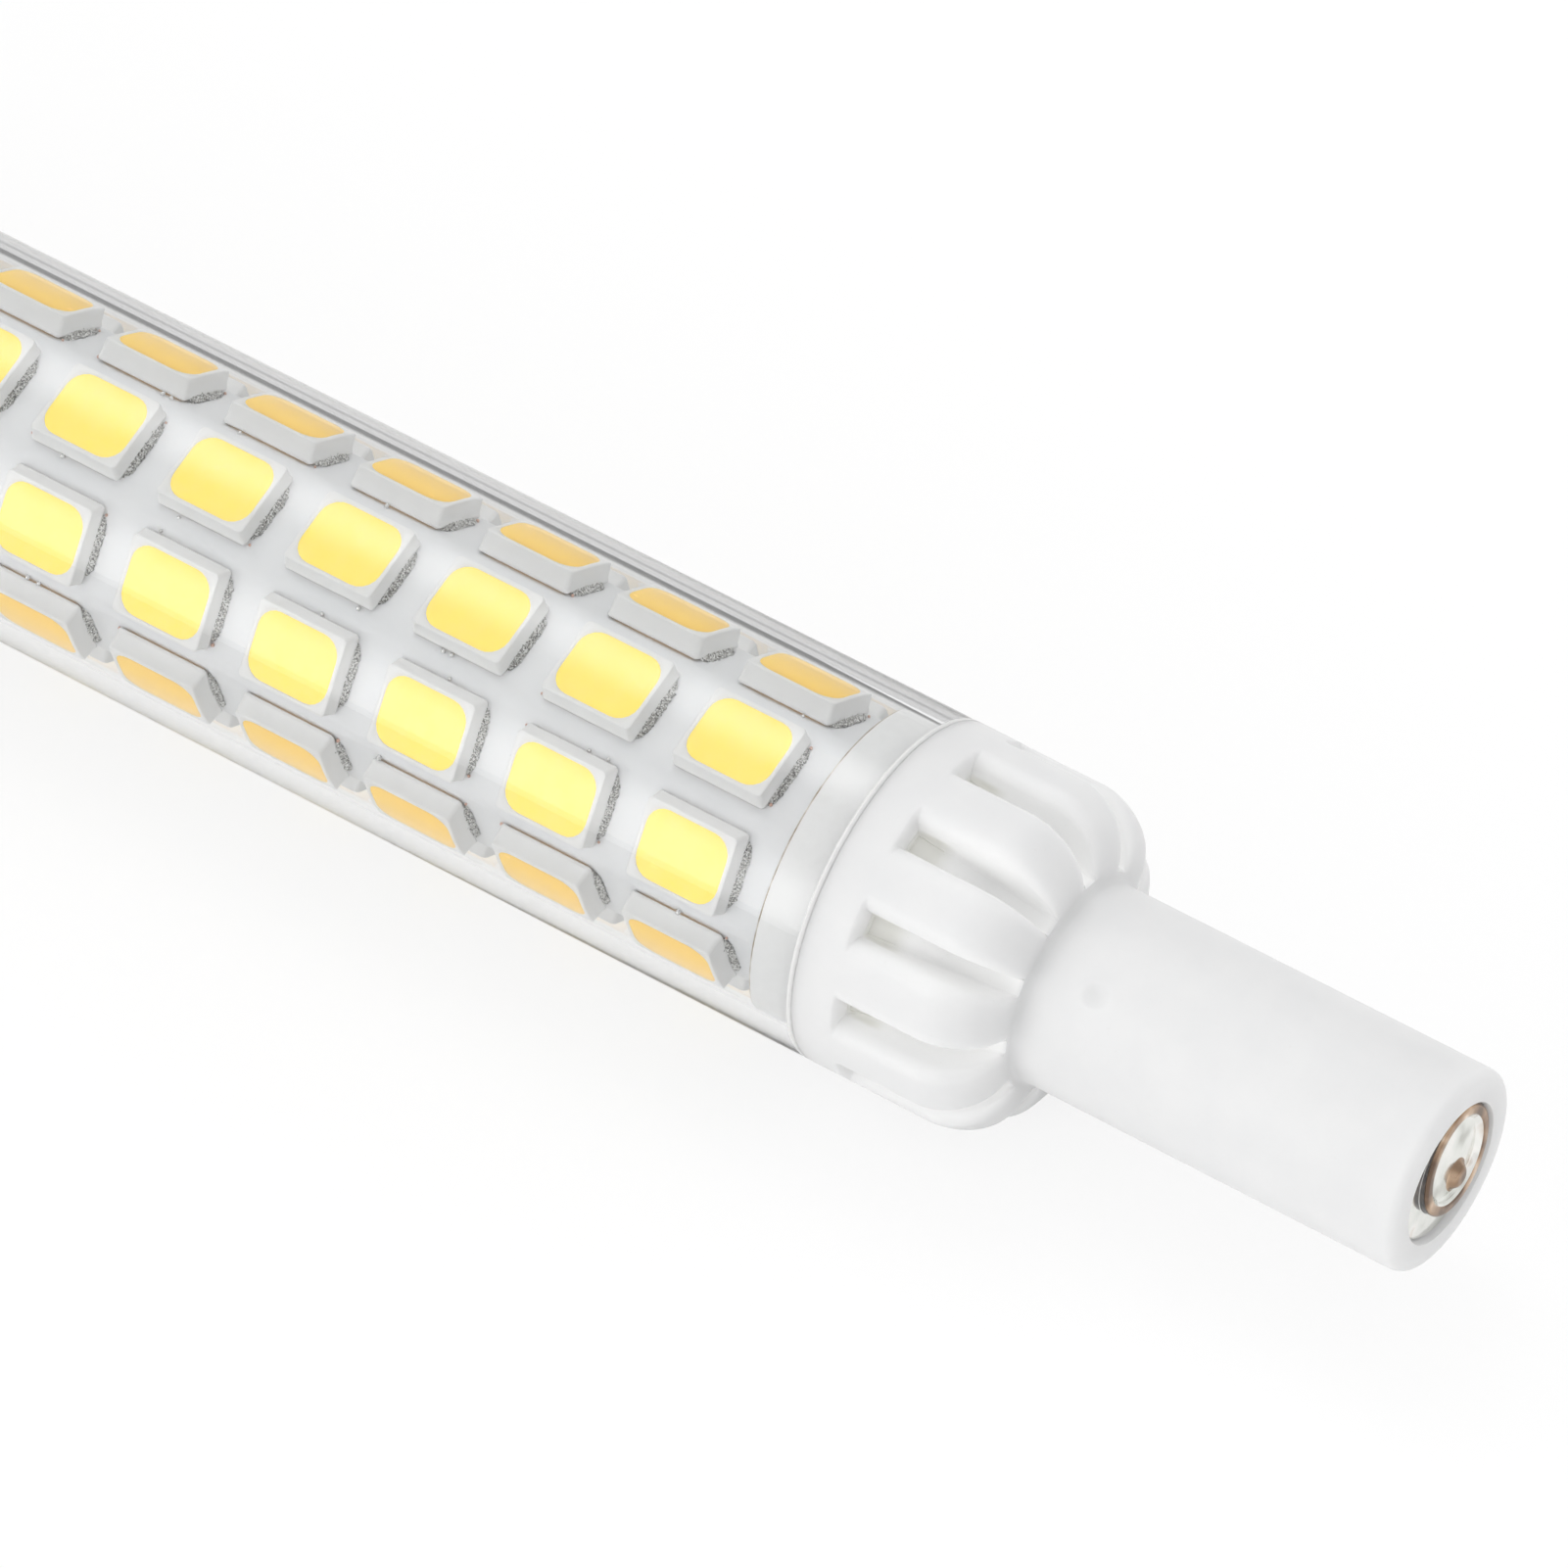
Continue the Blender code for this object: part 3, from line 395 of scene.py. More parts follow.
class Surface:
    """A Principled material whose nodes are added one call at a time."""

    def __init__(self, name, **sockets):
        self.made = bpy.data.materials.new(name)
        self.made.use_nodes = True
        self.nodes, self.links = self.made.node_tree.nodes, self.made.node_tree.links
        self.shader = self.nodes["Principled BSDF"]
        for key, value in sockets.items():
            self.shader.inputs[key.replace("_", " ")].default_value = value
        self.place = self.nodes.new("ShaderNodeTexCoord").outputs["Object"]
        self.last_bump = None

    def noise(self, millimetres, detail=3.0, roughness=0.5, stretch=None):
        """Noise with features of about this size."""
        place = self.place
        if stretch:
            mapping = self.nodes.new("ShaderNodeMapping")
            mapping.inputs["Scale"].default_value = stretch
            self.links.new(place, mapping.inputs["Vector"])
            place = mapping.outputs["Vector"]
        node = self.nodes.new("ShaderNodeTexNoise")
        node.inputs["Scale"].default_value = 1.0 / (millimetres * MM)
        node.inputs["Detail"].default_value = detail
        node.inputs["Roughness"].default_value = roughness
        self.links.new(place, node.inputs["Vector"])
        return node.outputs["Fac"]

    def ramp(self, value, stops):
        """Colours along a value: stops are (position, colour)."""
        node = self.nodes.new("ShaderNodeValToRGB")
        elements = node.color_ramp.elements
        while len(elements) < len(stops):
            elements.new(0.5)
        for element, (position, color) in zip(elements, stops):
            element.position = position
            element.color = (*color, 1.0)
        self.links.new(value, node.inputs["Fac"])
        return node.outputs["Color"]

    def math(self, operation, first, second=0.0):
        """A sum or other operation on sockets and numbers."""
        node = self.nodes.new("ShaderNodeMath")
        node.operation = operation
        for socket, value in zip(node.inputs, (first, second)):
            if isinstance(value, (int, float)):
                socket.default_value = value
            else:
                self.links.new(value, socket)
        return node.outputs["Value"]

    def mix(self, share, first, second):
        """The second colour over the first, by a share. Each is a socket, a colour or a number."""
        node = self.nodes.new("ShaderNodeMix")
        node.data_type = "RGBA"
        sockets = (node.inputs["Factor"], node.inputs[6], node.inputs[7])
        for socket, value in zip(sockets, (share, first, second)):
            if isinstance(value, tuple):
                socket.default_value = (*value, 1.0)
            elif isinstance(value, (int, float)):
                socket.default_value = value
            else:
                self.links.new(value, socket)
        return node.outputs[2]

    def color(self, value):
        self.links.new(value, self.shader.inputs["Base Color"])

    def rough(self, value, low, high):
        node = self.nodes.new("ShaderNodeMapRange")
        node.inputs["To Min"].default_value = low
        node.inputs["To Max"].default_value = high
        self.links.new(value, node.inputs["Value"])
        self.links.new(node.outputs["Result"], self.shader.inputs["Roughness"])

    def bump(self, value, millimetres, strength=1.0):
        """Relief of this height, on top of any relief added before."""
        node = self.nodes.new("ShaderNodeBump")
        node.inputs["Strength"].default_value = strength
        node.inputs["Distance"].default_value = millimetres * MM
        self.links.new(value, node.inputs["Height"])
        if self.last_bump:
            self.links.new(self.last_bump, node.inputs["Normal"])
        self.last_bump = node.outputs["Normal"]
        self.links.new(self.last_bump, self.shader.inputs["Normal"])

    def fade(self, value, none, full):
        """Nothing where the value is at one place in millimetres, rising to one at the other."""
        node = self.nodes.new("ShaderNodeMapRange")
        node.interpolation_type = "SMOOTHSTEP"
        low, high = sorted((none, full))
        ends = (0.0, 1.0) if none < full else (1.0, 0.0)
        for key, number in zip(("From Min", "From Max", "To Min", "To Max"), (low * MM, high * MM, *ends)):
            node.inputs[key].default_value = number
        self.links.new(value, node.inputs["Value"])
        return node.outputs["Result"]

    def axis(self, index):
        """One coordinate of the surface, in metres."""
        node = self.nodes.new("ShaderNodeSeparateXYZ")
        self.links.new(self.place, node.inputs["Vector"])
        return node.outputs[index]


def plain_surface(name, dark, light, roughness, grain, relief, **sockets):
    """A material with fine mottling between two close colours and a fine relief."""
    surface = Surface(name, **sockets)
    fine = surface.noise(grain)
    surface.color(surface.ramp(fine, [(0.3, dark), (0.7, light)]))
    surface.rough(surface.noise(grain * 3), roughness * 0.85, roughness * 1.15)
    surface.bump(fine, relief)
    return surface.made


def glass_material():
    surface = Surface("clear_glass", Transmission_Weight=1.0, IOR=1.4)
    streaks = surface.noise(3.0, 2.0, stretch=(0.15, 1.0, 1.0))
    surface.color(surface.ramp(streaks, [(0.35, (0.985, 0.992, 0.992)), (0.65, (0.995, 0.998, 0.998))]))
    surface.rough(surface.noise(1.2), 0.0, 0.015)
    surface.bump(streaks, 0.002, 0.3)
    return surface.made


def ceramic_material():
    """Matt white, with painted light that makes it paler the deeper it lies in a groove, as if light came
    through the petals, and painted shade that darkens the vents.
    """
    surface = Surface(
        "white_ceramic", Specular_IOR_Level=0.35, Subsurface_Weight=0.6, Subsurface_Scale=0.0014,
        Subsurface_Radius=(1.0, 1.0, 1.0),
    )
    fine = surface.noise(0.06, 4.0, 0.6)
    broad = surface.noise(1.6, 3.0)
    tint = surface.ramp(broad, [(0.3, (0.695, 0.697, 0.70)), (0.7, (0.72, 0.72, 0.72))])
    # Painted light: the grooves are painted paler the deeper they are, to lift the shade that falls in them.
    depth = surface.nodes.new("ShaderNodeAttribute")
    depth.attribute_name = "depth"
    tint = surface.mix(depth.outputs["Fac"], tint, (0.89, 0.89, 0.885))
    specks = surface.ramp(surface.noise(0.11, 1.0), [(0.71, (0.0, 0.0, 0.0)), (0.78, (1.0, 1.0, 1.0))])
    speckled = surface.mix(surface.math("MULTIPLY", specks, 0.12), tint, (0.6, 0.58, 0.55))
    # Painted shade: olive grey over the vents near each groove's blind end, fading along the groove and
    # towards the full radius.
    past_start = surface.math(
        "SUBTRACT", surface.math("ABSOLUTE", surface.axis(0)), (JOINT_X + GROOVE_START) * MM,
    )
    side, up = surface.axis(1), surface.axis(2)
    squares = surface.math("ADD", surface.math("MULTIPLY", side, side), surface.math("MULTIPLY", up, up))
    deep = surface.fade(surface.math("SQRT", squares), *VENT_SHADE_R)
    before_end = surface.fade(past_start, *VENT_SHADE_END)
    after_start = surface.fade(past_start, *VENT_SHADE_START)
    vent_shade = surface.math("MULTIPLY", surface.math("MULTIPLY", before_end, after_start), deep)
    surface.color(surface.mix(surface.math("MULTIPLY", vent_shade, 0.42), speckled, (0.58, 0.575, 0.50)))
    surface.rough(broad, 0.45, 0.6)
    surface.bump(fine, 0.006, 0.6)
    return surface.made


def board_material():
    """White solder mask over copper, whose edges show as low relief."""
    surface = Surface("white_board", Specular_IOR_Level=0.5)
    broad = surface.noise(2.5, 3.0)
    surface.color(surface.ramp(broad, [(0.3, (0.86, 0.87, 0.885)), (0.7, (0.90, 0.905, 0.915))]))
    column = surface.math("DIVIDE", surface.axis(0), PITCH * MM)
    share = surface.math("ABSOLUTE", surface.math("SUBTRACT", surface.math("FRACT", column), 0.5))
    line = surface.ramp(share, [(0.30, (0.0, 0.0, 0.0)), (0.335, (1.0, 1.0, 1.0))])
    surface.rough(broad, 0.32, 0.42)
    surface.bump(line, 0.02, 0.5)
    surface.bump(surface.noise(0.25, 3.0), 0.006, 0.5)
    return surface.made


def cup_material():
    surface = Surface("package_cup", Specular_IOR_Level=0.5)
    surface.color(surface.ramp(surface.noise(0.5), [(0.3, (0.955, 0.955, 0.95)), (0.7, (0.98, 0.98, 0.975))]))
    surface.rough(surface.noise(0.3), 0.28, 0.4)
    surface.bump(surface.noise(0.08), 0.003, 0.5)
    return surface.made


def phosphor_material():
    """Yellow grains with a faint painted glow of their own, under clear silicone, which deepens the colour on
    a slant.
    """
    # Painted light: the phosphor is given a faint yellow emission, though the lamp is not lit.
    surface = Surface(
        "phosphor", Coat_Weight=1.0, Coat_Roughness=0.12, Coat_IOR=1.06, Coat_Tint=(1.0, 0.87, 0.62, 1.0),
        Specular_IOR_Level=0.8, Emission_Color=(1.0, 0.68, 0.22, 1.0), Emission_Strength=0.24,
    )
    broad = surface.noise(0.9, 2.0)
    base = surface.ramp(broad, [(0.3, (0.97, 0.96, 0.12)), (0.7, (0.98, 0.97, 0.22))])
    grain = surface.noise(0.035, 2.0)
    grains = surface.ramp(grain, [(0.4, (0.0, 0.0, 0.0)), (0.8, (0.3, 0.3, 0.3))])
    surface.color(surface.mix(grains, base, (0.95, 0.95, 0.7)))
    surface.rough(broad, 0.2, 0.3)
    surface.bump(grain, 0.002, 0.5)
    return surface.made


def solder_material():
    surface = Surface("solder", Metallic=1.0)
    lumps = surface.noise(0.06, 5.0, 0.7)
    # Painted highlights and shade: the lumps' crests are painted near white and their hollows near black, the
    # hollows partly as flux residue.
    surface.color(surface.ramp(lumps, [
        (0.37, (0.07, 0.065, 0.06)), (0.48, (0.42, 0.41, 0.39)),
        (0.54, (0.88, 0.88, 0.86)), (0.60, (0.99, 0.99, 0.98)),
    ]))
    surface.rough(lumps, 0.2, 0.5)
    surface.bump(lumps, 0.06)
    return surface.made


def nickel_material():
    surface = Surface("nickel", Metallic=1.0)
    streaks = surface.noise(1.3, 2.0, 0.5)
    surface.color(surface.ramp(streaks, [
        (0.30, (0.50, 0.50, 0.46)), (0.45, (0.74, 0.75, 0.71)),
        (0.62, (0.86, 0.85, 0.82)), (0.75, (0.62, 0.52, 0.43)),
    ]))
    surface.rough(surface.noise(0.6, 3.0), 0.08, 0.2)
    surface.bump(surface.noise(0.6, 2.0), 0.02, 0.4)
    return surface.made


def tarnish_material():
    """The pressed rim and the nipple, browned by heat."""
    surface = Surface("nickel_tarnish", Metallic=1.0)
    patches = surface.noise(1.1, 2.0, 0.5)
    surface.color(surface.ramp(patches, [
        (0.36, (0.16, 0.11, 0.08)), (0.5, (0.34, 0.23, 0.155)),
        (0.62, (0.56, 0.41, 0.29)), (0.7, (0.8, 0.7, 0.6)),
    ]))
    surface.rough(surface.noise(0.6, 3.0), 0.12, 0.25)
    surface.bump(surface.noise(0.3, 2.0), 0.008, 0.4)
    return surface.made


def flux_material():
    """Flux that has crept brown along the cement's inner edge."""
    surface = Surface("flux_line")
    patches = surface.noise(0.5, 4.0)
    surface.color(surface.ramp(patches, [(0.35, (0.34, 0.25, 0.16)), (0.62, (0.8, 0.76, 0.7))]))
    surface.rough(surface.noise(0.2), 0.5, 0.7)
    surface.bump(surface.noise(0.2), 0.01)
    return surface.made


def woven_material():
    surface = Surface("woven_sleeve")
    weave = surface.math("SINE", surface.math("MULTIPLY", surface.axis(0), TURN / (WEAVE_PITCH * MM)))
    surface.color(surface.ramp(surface.noise(0.3), [(0.3, (0.74, 0.72, 0.66)), (0.7, (0.86, 0.85, 0.8))]))
    surface.rough(surface.noise(0.5), 0.8, 0.95)
    surface.bump(weave, 0.03)
    return surface.made


# Glass and board


def build_glass():
    """The clear tube, drawn in a hair towards its flat ground ends."""
    half, drawn_r = GLASS_LENGTH / 2, TUBE_R - DRAWN_BY
    right = [(half / 2, TUBE_R), (half - DRAWN_FROM, TUBE_R), (half - DRAWN_TO, drawn_r), (half, drawn_r)]
    right += [(half, GLASS_INNER), (half / 2, GLASS_INNER)]
    left = [(-x, r) for x, r in reversed(right)]
    points, faces = lathe(right + left, GLASS_SEGMENTS, closed=True)
    piece = add_piece("glass_tube_clear", points, faces, [glass_material()], sharp=EDGE_ANGLE)
    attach(piece, BODY)
    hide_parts("glass_tube")


def roll_outline():
    """The rolled board's outer cross-section as (y, z, normal y, normal z), from seam round to seam."""
    step = TURN / ROWS
    flat = BOARD_R * math.tan(step / 2 - BOARD_BEND / BOARD_R / 2)
    seam = BOARD_R * math.tan(step / 2 - BOARD_SEAM / BOARD_R / 2)
    reach = BOARD_R * math.tan(step / 2) - flat
    bend = reach / math.tan(step / 2)
    outline = []
    first = ROWS // 2 + 1 - ROWS
    last = first + ROWS - 1
    for row in range(first, last + 1):
        angle = row * step
        across = np.array([math.cos(angle), -math.sin(angle)])
        out = np.array([math.sin(angle), math.cos(angle)])
        start = -seam if row == first else -flat
        end = seam if row == last else flat
        for offset in np.linspace(start, end, FLAT_POINTS):
            outline.append((*(out * BOARD_R + across * offset), *out))
        if row < last:
            middle = out * (BOARD_R - bend) + across * flat
            for k in range(1, BEND_STEPS):
                turn = step * k / BEND_STEPS
                spoke = out * math.cos(turn) + across * math.sin(turn)
                outline.append((*(middle + spoke * bend), *spoke))
    return np.array(outline)


def build_board(board, edge):
    """The thin board, with its cut ends and seam edges in bare laminate."""
    outline = roll_outline()
    count = len(outline)
    points = []
    stations = (-BOARD_HALF, BARE_EDGE - BOARD_HALF, BOARD_HALF - BARE_EDGE, BOARD_HALF)
    for x in stations:
        for depth in (0.0, BOARD_THICKNESS):
            y, z = (outline[:, :2] - outline[:, 2:] * depth).T
            points.append(np.stack([np.full(count, x), y, z], axis=1))
    faces, kinds = [], []
    for s in range(len(stations) - 1):
        a, b = 2 * s * count, 2 * (s + 1) * count
        for j in range(count - 1):
            faces.append((a + j, a + j + 1, b + j + 1, b + j))
            faces.append((a + count + j, b + count + j, b + count + j + 1, a + count + j + 1))
            kinds += [0 if s == 1 else 1, 0]
        for j in (0, count - 1):
            faces.append((a + j, b + j, b + count + j, a + count + j))
            kinds.append(1)
    for s in (0, len(stations) - 1):
        a = 2 * s * count
        for j in range(count - 1):
            faces.append((a + j, a + j + 1, a + count + j + 1, a + count + j))
            kinds.append(1)
    piece = add_piece("rolled_board", np.concatenate(points), faces, [board, edge], kinds, sharp=EDGE_ANGLE)
    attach(piece, BODY)
    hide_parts("led_board")


# Light packages and their solder


def package_places():
    """Each package's place along the bulb, with its row's turn."""
    for row in range(ROWS):
        for column in range(COLUMNS):
            yield (column - (COLUMNS - 1) / 2) * PITCH, TURN * row / ROWS


def set_on_board(points, x, angle):
    """Points with z out of the board and y across the row, set along the bulb and turned to a row."""
    c, s = math.cos(angle), math.sin(angle)
    px, py, pz = points[:, 0] + x, points[:, 1], points[:, 2] + BOARD_R
    return np.stack([px, py * c + pz * s, -py * s + pz * c], axis=1)


def rounded_rectangle(length, width, radius, z):
    """A ring of points at a height, with an arc at each corner."""
    points = []
    for quarter, (sx, sy) in enumerate(((1, 1), (-1, 1), (-1, -1), (1, -1))):
        for k in range(CORNER_STEPS + 1):
            angle = math.pi / 2 * (quarter + k / CORNER_STEPS)
            x = sx * (length / 2 - radius) + radius * math.cos(angle)
            y = sy * (width / 2 - radius) + radius * math.sin(angle)
            points.append((x, y, z))
    return np.array(points)


def window_size():
    return LED_LENGTH - 2 * LED_TAPER - 2 * LED_RIM, LED_WIDTH - 2 * LED_TAPER - 2 * LED_RIM


def package_cup():
    """The white cup: rings of like outlines from its foot over its rim down to the window's edge."""
    length, width = LED_LENGTH, LED_WIDTH
    inner_length, inner_width = window_size()
    top_length, top_width = length - 2 * LED_TAPER, width - 2 * LED_TAPER
    bottom_corner, foot_corner = CUP_BOTTOM_CORNERS
    rings = [
        (length - CUP_BOTTOM[0], width - CUP_BOTTOM[1], bottom_corner, CUP_FOOT),
        (length - CUP_FOOT_EDGE, width - CUP_FOOT_EDGE, foot_corner, CUP_FOOT),
        (length, width, CUP_CORNER, CUP_FOOT + CUP_FOOT_SLOPE),
        (length, width, CUP_CORNER, CUP_LEDGE),
        (length - CUP_LEDGE_EDGE, width - CUP_LEDGE_EDGE, CUP_CORNER, CUP_LEDGE + CUP_LEDGE_SLOPE),
    ]
    for out, down in CUP_BEVELS:
        rings.append((top_length + out, top_width + out, CUP_TOP_CORNER, LED_TOP - down))
    for out, corner, down in CUP_LIPS:
        rings.append((inner_length + out, inner_width + out, LED_CORNER + corner, LED_TOP - down))
    points = [rounded_rectangle(*ring) for ring in rings]
    return np.concatenate(points), grid_faces(len(rings), OUTLINE_POINTS)


def package_window():
    """The phosphor's surface: a shallow dish of rings that ends in one middle face."""
    length, width = window_size()
    points = []
    for k in range(WINDOW_RINGS):
        share = 1 - k / WINDOW_RINGS * WINDOW_REACH
        z = LED_TOP - WINDOW_SINK - WINDOW_DISH * (1 - share ** 4)
        points.append(rounded_rectangle(length * share, width * share, LED_CORNER * share, z))
    faces = grid_faces(WINDOW_RINGS, OUTLINE_POINTS)
    faces.append(tuple((WINDOW_RINGS - 1) * OUTLINE_POINTS + j for j in range(OUTLINE_POINTS)))
    return np.concatenate(points), faces


def repeat(name, points, faces, materials, vary=None):
    """One piece made of a form set at every package. vary changes the form's points for each."""
    all_points, all_faces = [], []
    for x, angle in package_places():
        start = len(all_points) * len(points)
        all_points.append(set_on_board(vary(points) if vary else points, x, angle))
        all_faces += [tuple(start + v for v in face) for face in faces]
    return add_piece(name, np.concatenate(all_points), all_faces, materials)


def solder_form():
    """The solder along one end of a package, as a wedge between the cup's foot and the board."""
    along = np.linspace(-1, 1, SOLDER_COLUMNS)
    start, inside = (LED_LENGTH / 2 - depth for depth in SOLDER_INSIDE)
    points = []
    for k in range(SOLDER_RISE + 1):
        share = k / SOLDER_RISE
        for a in along:
            taper = max(1 - abs(a) ** SOLDER_END_POWER, 0.0) * (1 - SOLDER_END_SHARE) + SOLDER_END_SHARE
            height = (SOLDER_HEIGHT * (1 - share) ** SOLDER_HOLLOW + SOLDER_FOOT) * taper
            points.append((start + SOLDER_OUT * share * taper, a * SOLDER_HALF, height))
    points += [(inside, a * SOLDER_HALF, -SOLDER_FOOT) for a in along]
    return np.array(points), grid_faces(SOLDER_RISE + 2, SOLDER_COLUMNS, around=False)


def build_solder(material):
    form, faces = solder_form()
    out_lumps, up_lumps = SOLDER_LUMPS

    def rough_end(points):
        made = points.copy()
        made[:, 0] += out_lumps * rng.normal(0, 1, len(points))
        made[:, 2] = np.maximum(made[:, 2] + up_lumps * rng.normal(0, 1, len(points)), -SOLDER_FOOT)
        made[:, 1] *= rng.uniform(SOLDER_SHORTEST, 1.0)
        return made

    for name, side in (("solder_right_ends", 1), ("solder_left_ends", -1)):
        def turned(points, side=side):
            return rough_end(points) * (side, side, 1)
        piece = repeat(name, form, faces, [material], turned)
        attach(piece, BODY)
        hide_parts("led_board")


def bead(spot, radius):
    """A dome of rings, sunk a little in the board."""
    points = []
    for i in range(BEAD_RINGS):
        lat = math.pi / 2 * (i / (BEAD_RINGS - 1) * (1 + BEAD_RISE) - BEAD_RISE)
        for j in range(BEAD_SEGMENTS):
            lon = TURN * j / BEAD_SEGMENTS
            points.append((
                spot[0] + radius * math.cos(lat) * math.cos(lon),
                spot[1] + radius * math.cos(lat) * math.sin(lon),
                radius * BEAD_RISE + radius * math.sin(lat),
            ))
    return np.array(points)


def bead_spot(_):
    """A place along one of a package's long sides."""
    along = rng.uniform(-BEAD_ALONG, BEAD_ALONG)
    return along, rng.choice((-1, 1)) * (LED_WIDTH / 2 + rng.uniform(*BEAD_ASIDE))


def fleck_spot(corner):
    """A place at one of the corners of a package's end."""
    along = rng.choice((-1, 1)) * (LED_LENGTH / 2 + FLECK_OUT)
    return along, (1 if corner else -1) * rng.uniform(*FLECK_ASIDE)


def build_beads(solder, copper):
    """Small solder beads and copper-coloured flux left beside the packages."""
    for name, material, chance, radii, find_spot in (
        ("solder_beads", solder, BEAD_CHANCE, BEAD_R, bead_spot),
        ("flux_specks", copper, FLECK_CHANCE, FLECK_R, fleck_spot),
    ):
        points, faces = [], []
        for x, angle in package_places():
            for corner in range(2):
                if rng.random() > chance:
                    continue
                radius = rng.uniform(*radii)
                faces += grid_faces(BEAD_RINGS, BEAD_SEGMENTS, start=len(points))
                points += set_on_board(bead(find_spot(corner), radius), x, angle).tolist()
        piece = add_piece(name, np.array(points), faces, [material])
        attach(piece, BODY)
        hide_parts("led_board")


def build_packages():
    board = board_material()
    edge = plain_surface("laminate_edge", (0.38, 0.22, 0.12), (0.55, 0.36, 0.22), 0.6, 0.1, 0.004)
    solder = solder_material()
    copper = plain_surface(
        "copper_flux", (0.55, 0.30, 0.22), (0.82, 0.56, 0.45), 0.3, 0.05, 0.01, Metallic=0.4,
    )
    beads = plain_surface(
        "bead_solder", (0.62, 0.62, 0.61), (0.9, 0.9, 0.89), 0.25, 0.05, 0.01, Metallic=0.5,
    )
    build_board(board, edge)
    cup, cup_faces = package_cup()
    window, window_faces = package_window()
    for name, points, faces, material in (
        ("package_cups", cup, cup_faces, cup_material()),
        ("package_windows", window, window_faces, phosphor_material()),
    ):
        piece = repeat(name, points, faces, [material])
        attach(piece, BODY)
        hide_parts("led_board")
    build_solder(solder)
    build_beads(beads, copper)


# Ceramic caps


def groove_columns():
    """Across-groove places in millimetres at the full radius, from one groove's middle to the next one's."""
    fillet = GROOVE_HALF - GROOVE_FILLET
    half = [*GROOVE_FLOOR_PLACES, *(fillet + t for t in GROOVE_FILLET_PLACES), GROOVE_HALF - GROOVE_CREASE]
    for k in range(GROOVE_EDGE_STEPS + 1):
        share = 1 - math.cos(math.pi / 2 * k / GROOVE_EDGE_STEPS)
        half.append(GROOVE_HALF + GROOVE_EDGE * share + GROOVE_CREASE)
    half += PETAL_PLACES
    return np.array(half + [GROOVE_PITCH / 2] + [GROOVE_PITCH - t for t in reversed(half[1:])])


def cap_surface(x, r, across):
    """The radius of the grooved body where its plain profile has the radius r."""
    fall = (GROOVE_NOSE_DEPTH - GROOVE_DEPTH) * (x - GROOVE_START) / (BODY_LENGTH - GROOVE_START)
    floor = BULB_R - GROOVE_DEPTH - fall
    past = max(GROOVE_START - x, 0.0) / GROOVE_END_EDGE
    aside = max(across - GROOVE_HALF, 0.0) / GROOVE_EDGE
    distance = math.hypot(past, aside)
    if distance >= 1:
        return r
    if distance > 0:
        return max(r - GROOVE_EDGE * (1 - math.sqrt(1 - (1 - distance) ** 2)), min(floor, r))
    lift = across - (GROOVE_HALF - GROOVE_FILLET)
    if lift > 0:
        floor += GROOVE_FILLET - math.sqrt(max(GROOVE_FILLET ** 2 - lift ** 2, 0))
    if across < GROOVE_HALF - GROOVE_FILLET and POCKET_START <= x <= POCKET_END:
        floor -= POCKET_DEPTH
    blend = max(GROOVE_BLEND - abs(r - floor), 0) / GROOVE_BLEND
    return min(r, floor) - blend ** 2 * GROOVE_BLEND / 4


def body_profile():
    """From the spigot's end to the shoulder's end, with rings close together where the grooves start."""
    profile = [(SPIGOT_END, CAVITY_R), (SPIGOT_END, SPIGOT_R - SPIGOT_EDGE)]
    profile += [(SPIGOT_END + SPIGOT_EDGE, SPIGOT_R), (0.0, SPIGOT_R)]
    profile += [(x, TUBE_R - inset) for x, inset in JOINT_EDGE_RINGS]
    straight = [*RINGS_BEFORE_GROOVE, GROOVE_START, GROOVE_START + GROOVE_WALL]
    straight += [POCKET_START - POCKET_WALL, POCKET_START, POCKET_END, POCKET_END + POCKET_WALL]
    profile += [(x, TUBE_R) for x in (*straight, *RINGS_AFTER_VENT)]
    bend_x, bend_r = BODY_LENGTH - SHOULDER_R, BULB_R - SHOULDER_R
    for k in range(SHOULDER_STEPS + 1):
        angle = math.pi / 2 * (1 - k / SHOULDER_STEPS)
        radius = min(bend_r + SHOULDER_R * math.sin(angle), TUBE_R)
        profile.append((bend_x + SHOULDER_R * math.cos(angle), radius))
    return profile


def post_profile():
    """From the post's root over its end and recess, and back through the bore to the cavity."""
    profile = []
    root, edge_x, edge_r = BODY_LENGTH + ROOT_FILLET, TIP_Z - POST_EDGE, POST_R - POST_EDGE
    for k in range(1, FILLET_STEPS + 1):
        angle = math.pi / 2 * k / FILLET_STEPS
        profile.append((root - ROOT_FILLET * math.cos(angle), POST_R + ROOT_FILLET * (1 - math.sin(angle))))
    profile += [(x, POST_R) for x in (*np.arange(*DIMPLE_RINGS), *POST_RINGS, edge_x)]
    for k in range(1, EDGE_STEPS + 1):
        angle = math.pi / 2 * (1 - k / EDGE_STEPS)
        profile.append((edge_x + POST_EDGE * math.cos(angle), edge_r + POST_EDGE * math.sin(angle)))
    floor_x = TIP_Z - CONTACT_RECESS
    profile += [(TIP_Z, RECESS_MOUTH_R + RECESS_EDGE[1]), (TIP_Z - RECESS_EDGE[0], RECESS_MOUTH_R)]
    profile += [(floor_x + RECESS_FILLET[0], RECESS_FLOOR_R), (floor_x, RECESS_FLOOR_R - RECESS_FILLET[1])]
    profile += [(floor_x, BORE_R), (CAVITY_DEPTH + CAVITY_CONE, BORE_R), (CAVITY_DEPTH, CAVITY_R)]
    return profile


